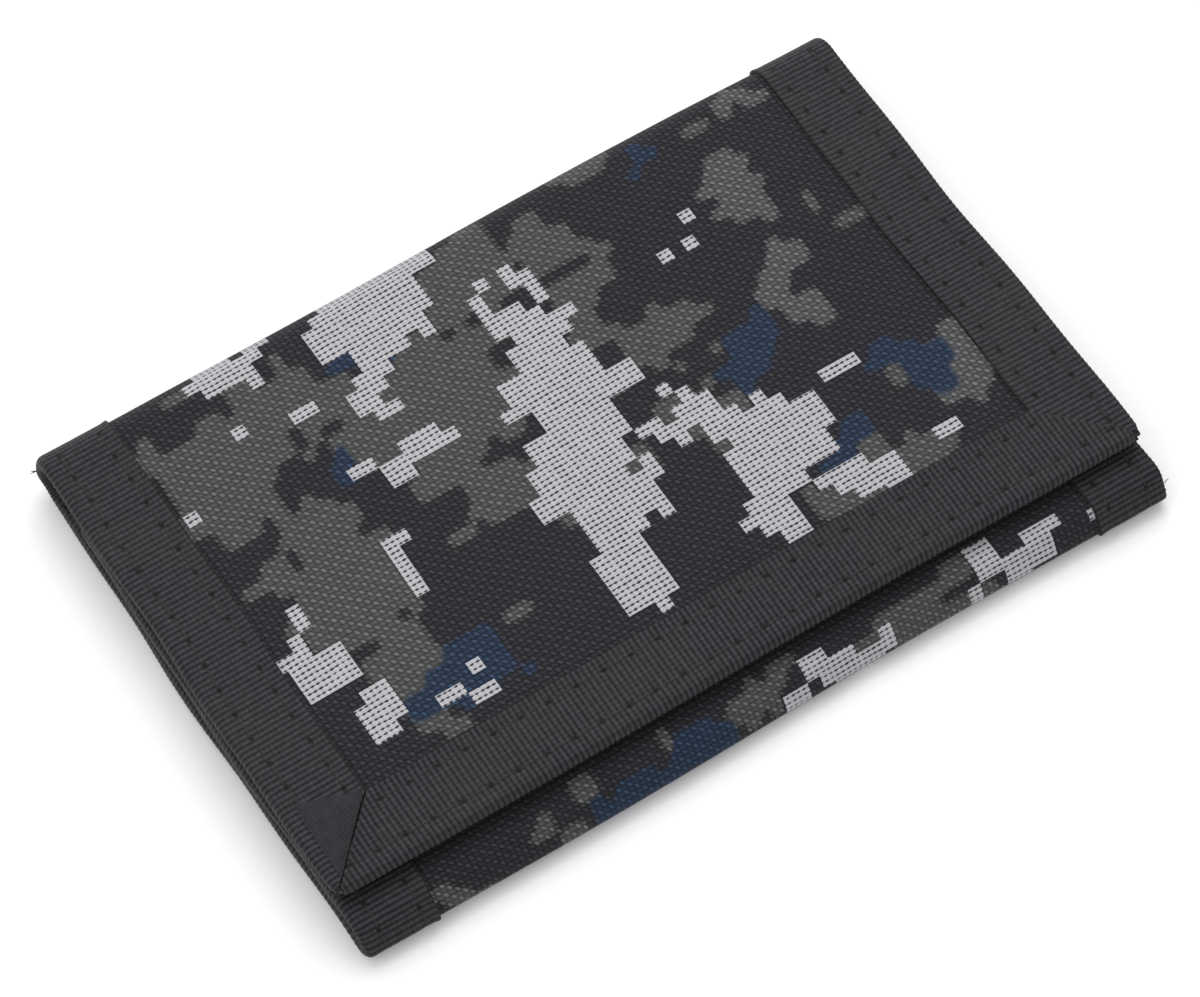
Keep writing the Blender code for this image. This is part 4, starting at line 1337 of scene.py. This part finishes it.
def make_loose_threads():
    """A few frayed ends of yarn at the tape's cut corners."""
    rng = random.Random(11)
    spots = (
        ("back_left", (-HALF_WIDTH + 0.6, HALF_DEPTH - 1.2, 5.2), (-1.0, 0.25, -0.1), "back_spine"),
        ("front_right", (HALF_WIDTH - 0.8, -HALF_DEPTH + 1.2, 3.4), (0.8, -0.6, 0.1), "base"),
    )
    for name, root, way, body in spots:
        curve = bpy.data.curves.new(f"yarn_{name}", "CURVE")
        curve.dimensions = "3D"
        curve.bevel_depth = YARN_RADIUS * MM
        curve.bevel_resolution = 1
        curve.use_fill_caps = True
        curve.materials.append(material("thread"))
        for _ in range(YARNS):
            spline = curve.splines.new("POLY")
            spline.points.add(4)
            bend = [rng.uniform(-0.5, 0.5) for _ in range(3)]
            long = rng.uniform(0.8, 1.9)
            for i, point in enumerate(spline.points):
                t = i / 4
                place = [root[k] + way[k] * long * t + bend[k] * t * t * long * 0.7 for k in range(3)]
                x, y, z = place_all([place])[0]
                point.co = (x, y, max(z, 0.1 * MM), 1.0)
        claim(into_scene(bpy.data.objects.new(f"yarn_{name}", curve)), body, "binding_tape")


# ---- studio

FLOOR_REACH = 3.0
FLOOR_Z = -0.0002
WORLD_LIGHT = 0.70

# Lamps as name, place, size and power. They look at the origin
LAMPS = (("key", (0.28, 0.62, 0.85), 1.1, 8.0), ("fill", (-0.8, 0.1, 0.8), 0.9, 2.0))

# Where the camera stands, seen from the target: angles in degrees, metres and a lens in millimetres
AZIMUTH, ELEVATION, ROLL = -31.09, 59.98, -1.77
DISTANCE, LENS = 0.7046, 158.1
TARGET = (-0.00062, -0.00115, 0.0)


def make_studio():
    """A pale floor, an even world and two soft lamps."""
    mesh = bpy.data.meshes.new("floor")
    corners = ((-1, -1), (1, -1), (1, 1), (-1, 1))
    mesh.from_pydata([(FLOOR_REACH * x, FLOOR_REACH * y, FLOOR_Z) for x, y in corners], [], [(0, 1, 2, 3)])
    mesh.materials.append(material("paper_floor"))
    into_scene(bpy.data.objects.new("floor", mesh))
    world = bpy.data.worlds.new("studio")
    world.use_nodes = True
    background = world.node_tree.nodes["Background"]
    background.inputs["Color"].default_value = (1.0, 1.0, 1.0, 1.0)
    background.inputs["Strength"].default_value = WORLD_LIGHT
    bpy.context.scene.world = world
    for name, place, size, power in LAMPS:
        lamp = bpy.data.lights.new(name, "AREA")
        lamp.size = size
        lamp.energy = power
        obj = into_scene(bpy.data.objects.new(name, lamp))
        obj.location = place
        obj.rotation_euler = (-Vector(place)).to_track_quat("-Z", "Y").to_euler()


def make_camera():
    """A long lens from the front left, high up, slightly rolled."""
    data = bpy.data.cameras.new("camera")
    data.sensor_width, data.lens = 36.0, LENS
    camera = into_scene(bpy.data.objects.new("camera", data))
    place = Matrix.Translation(TARGET)
    for angle, axis in ((AZIMUTH, "Z"), (90 - ELEVATION, "X"), (ROLL, "Z")):
        place = place @ Matrix.Rotation(radians(angle), 4, axis)
    camera.matrix_world = place @ Matrix.Translation((0.0, 0.0, DISTANCE))
    bpy.context.scene.camera = camera


make_camera()
make_studio()
make_side_tapes()
make_end_tapes()
add_tuck()
make_cloth()
make_pockets()
make_closure()
make_zip()
make_slider()
make_loose_threads()
bpy.context.scene.view_settings.view_transform = "Standard"
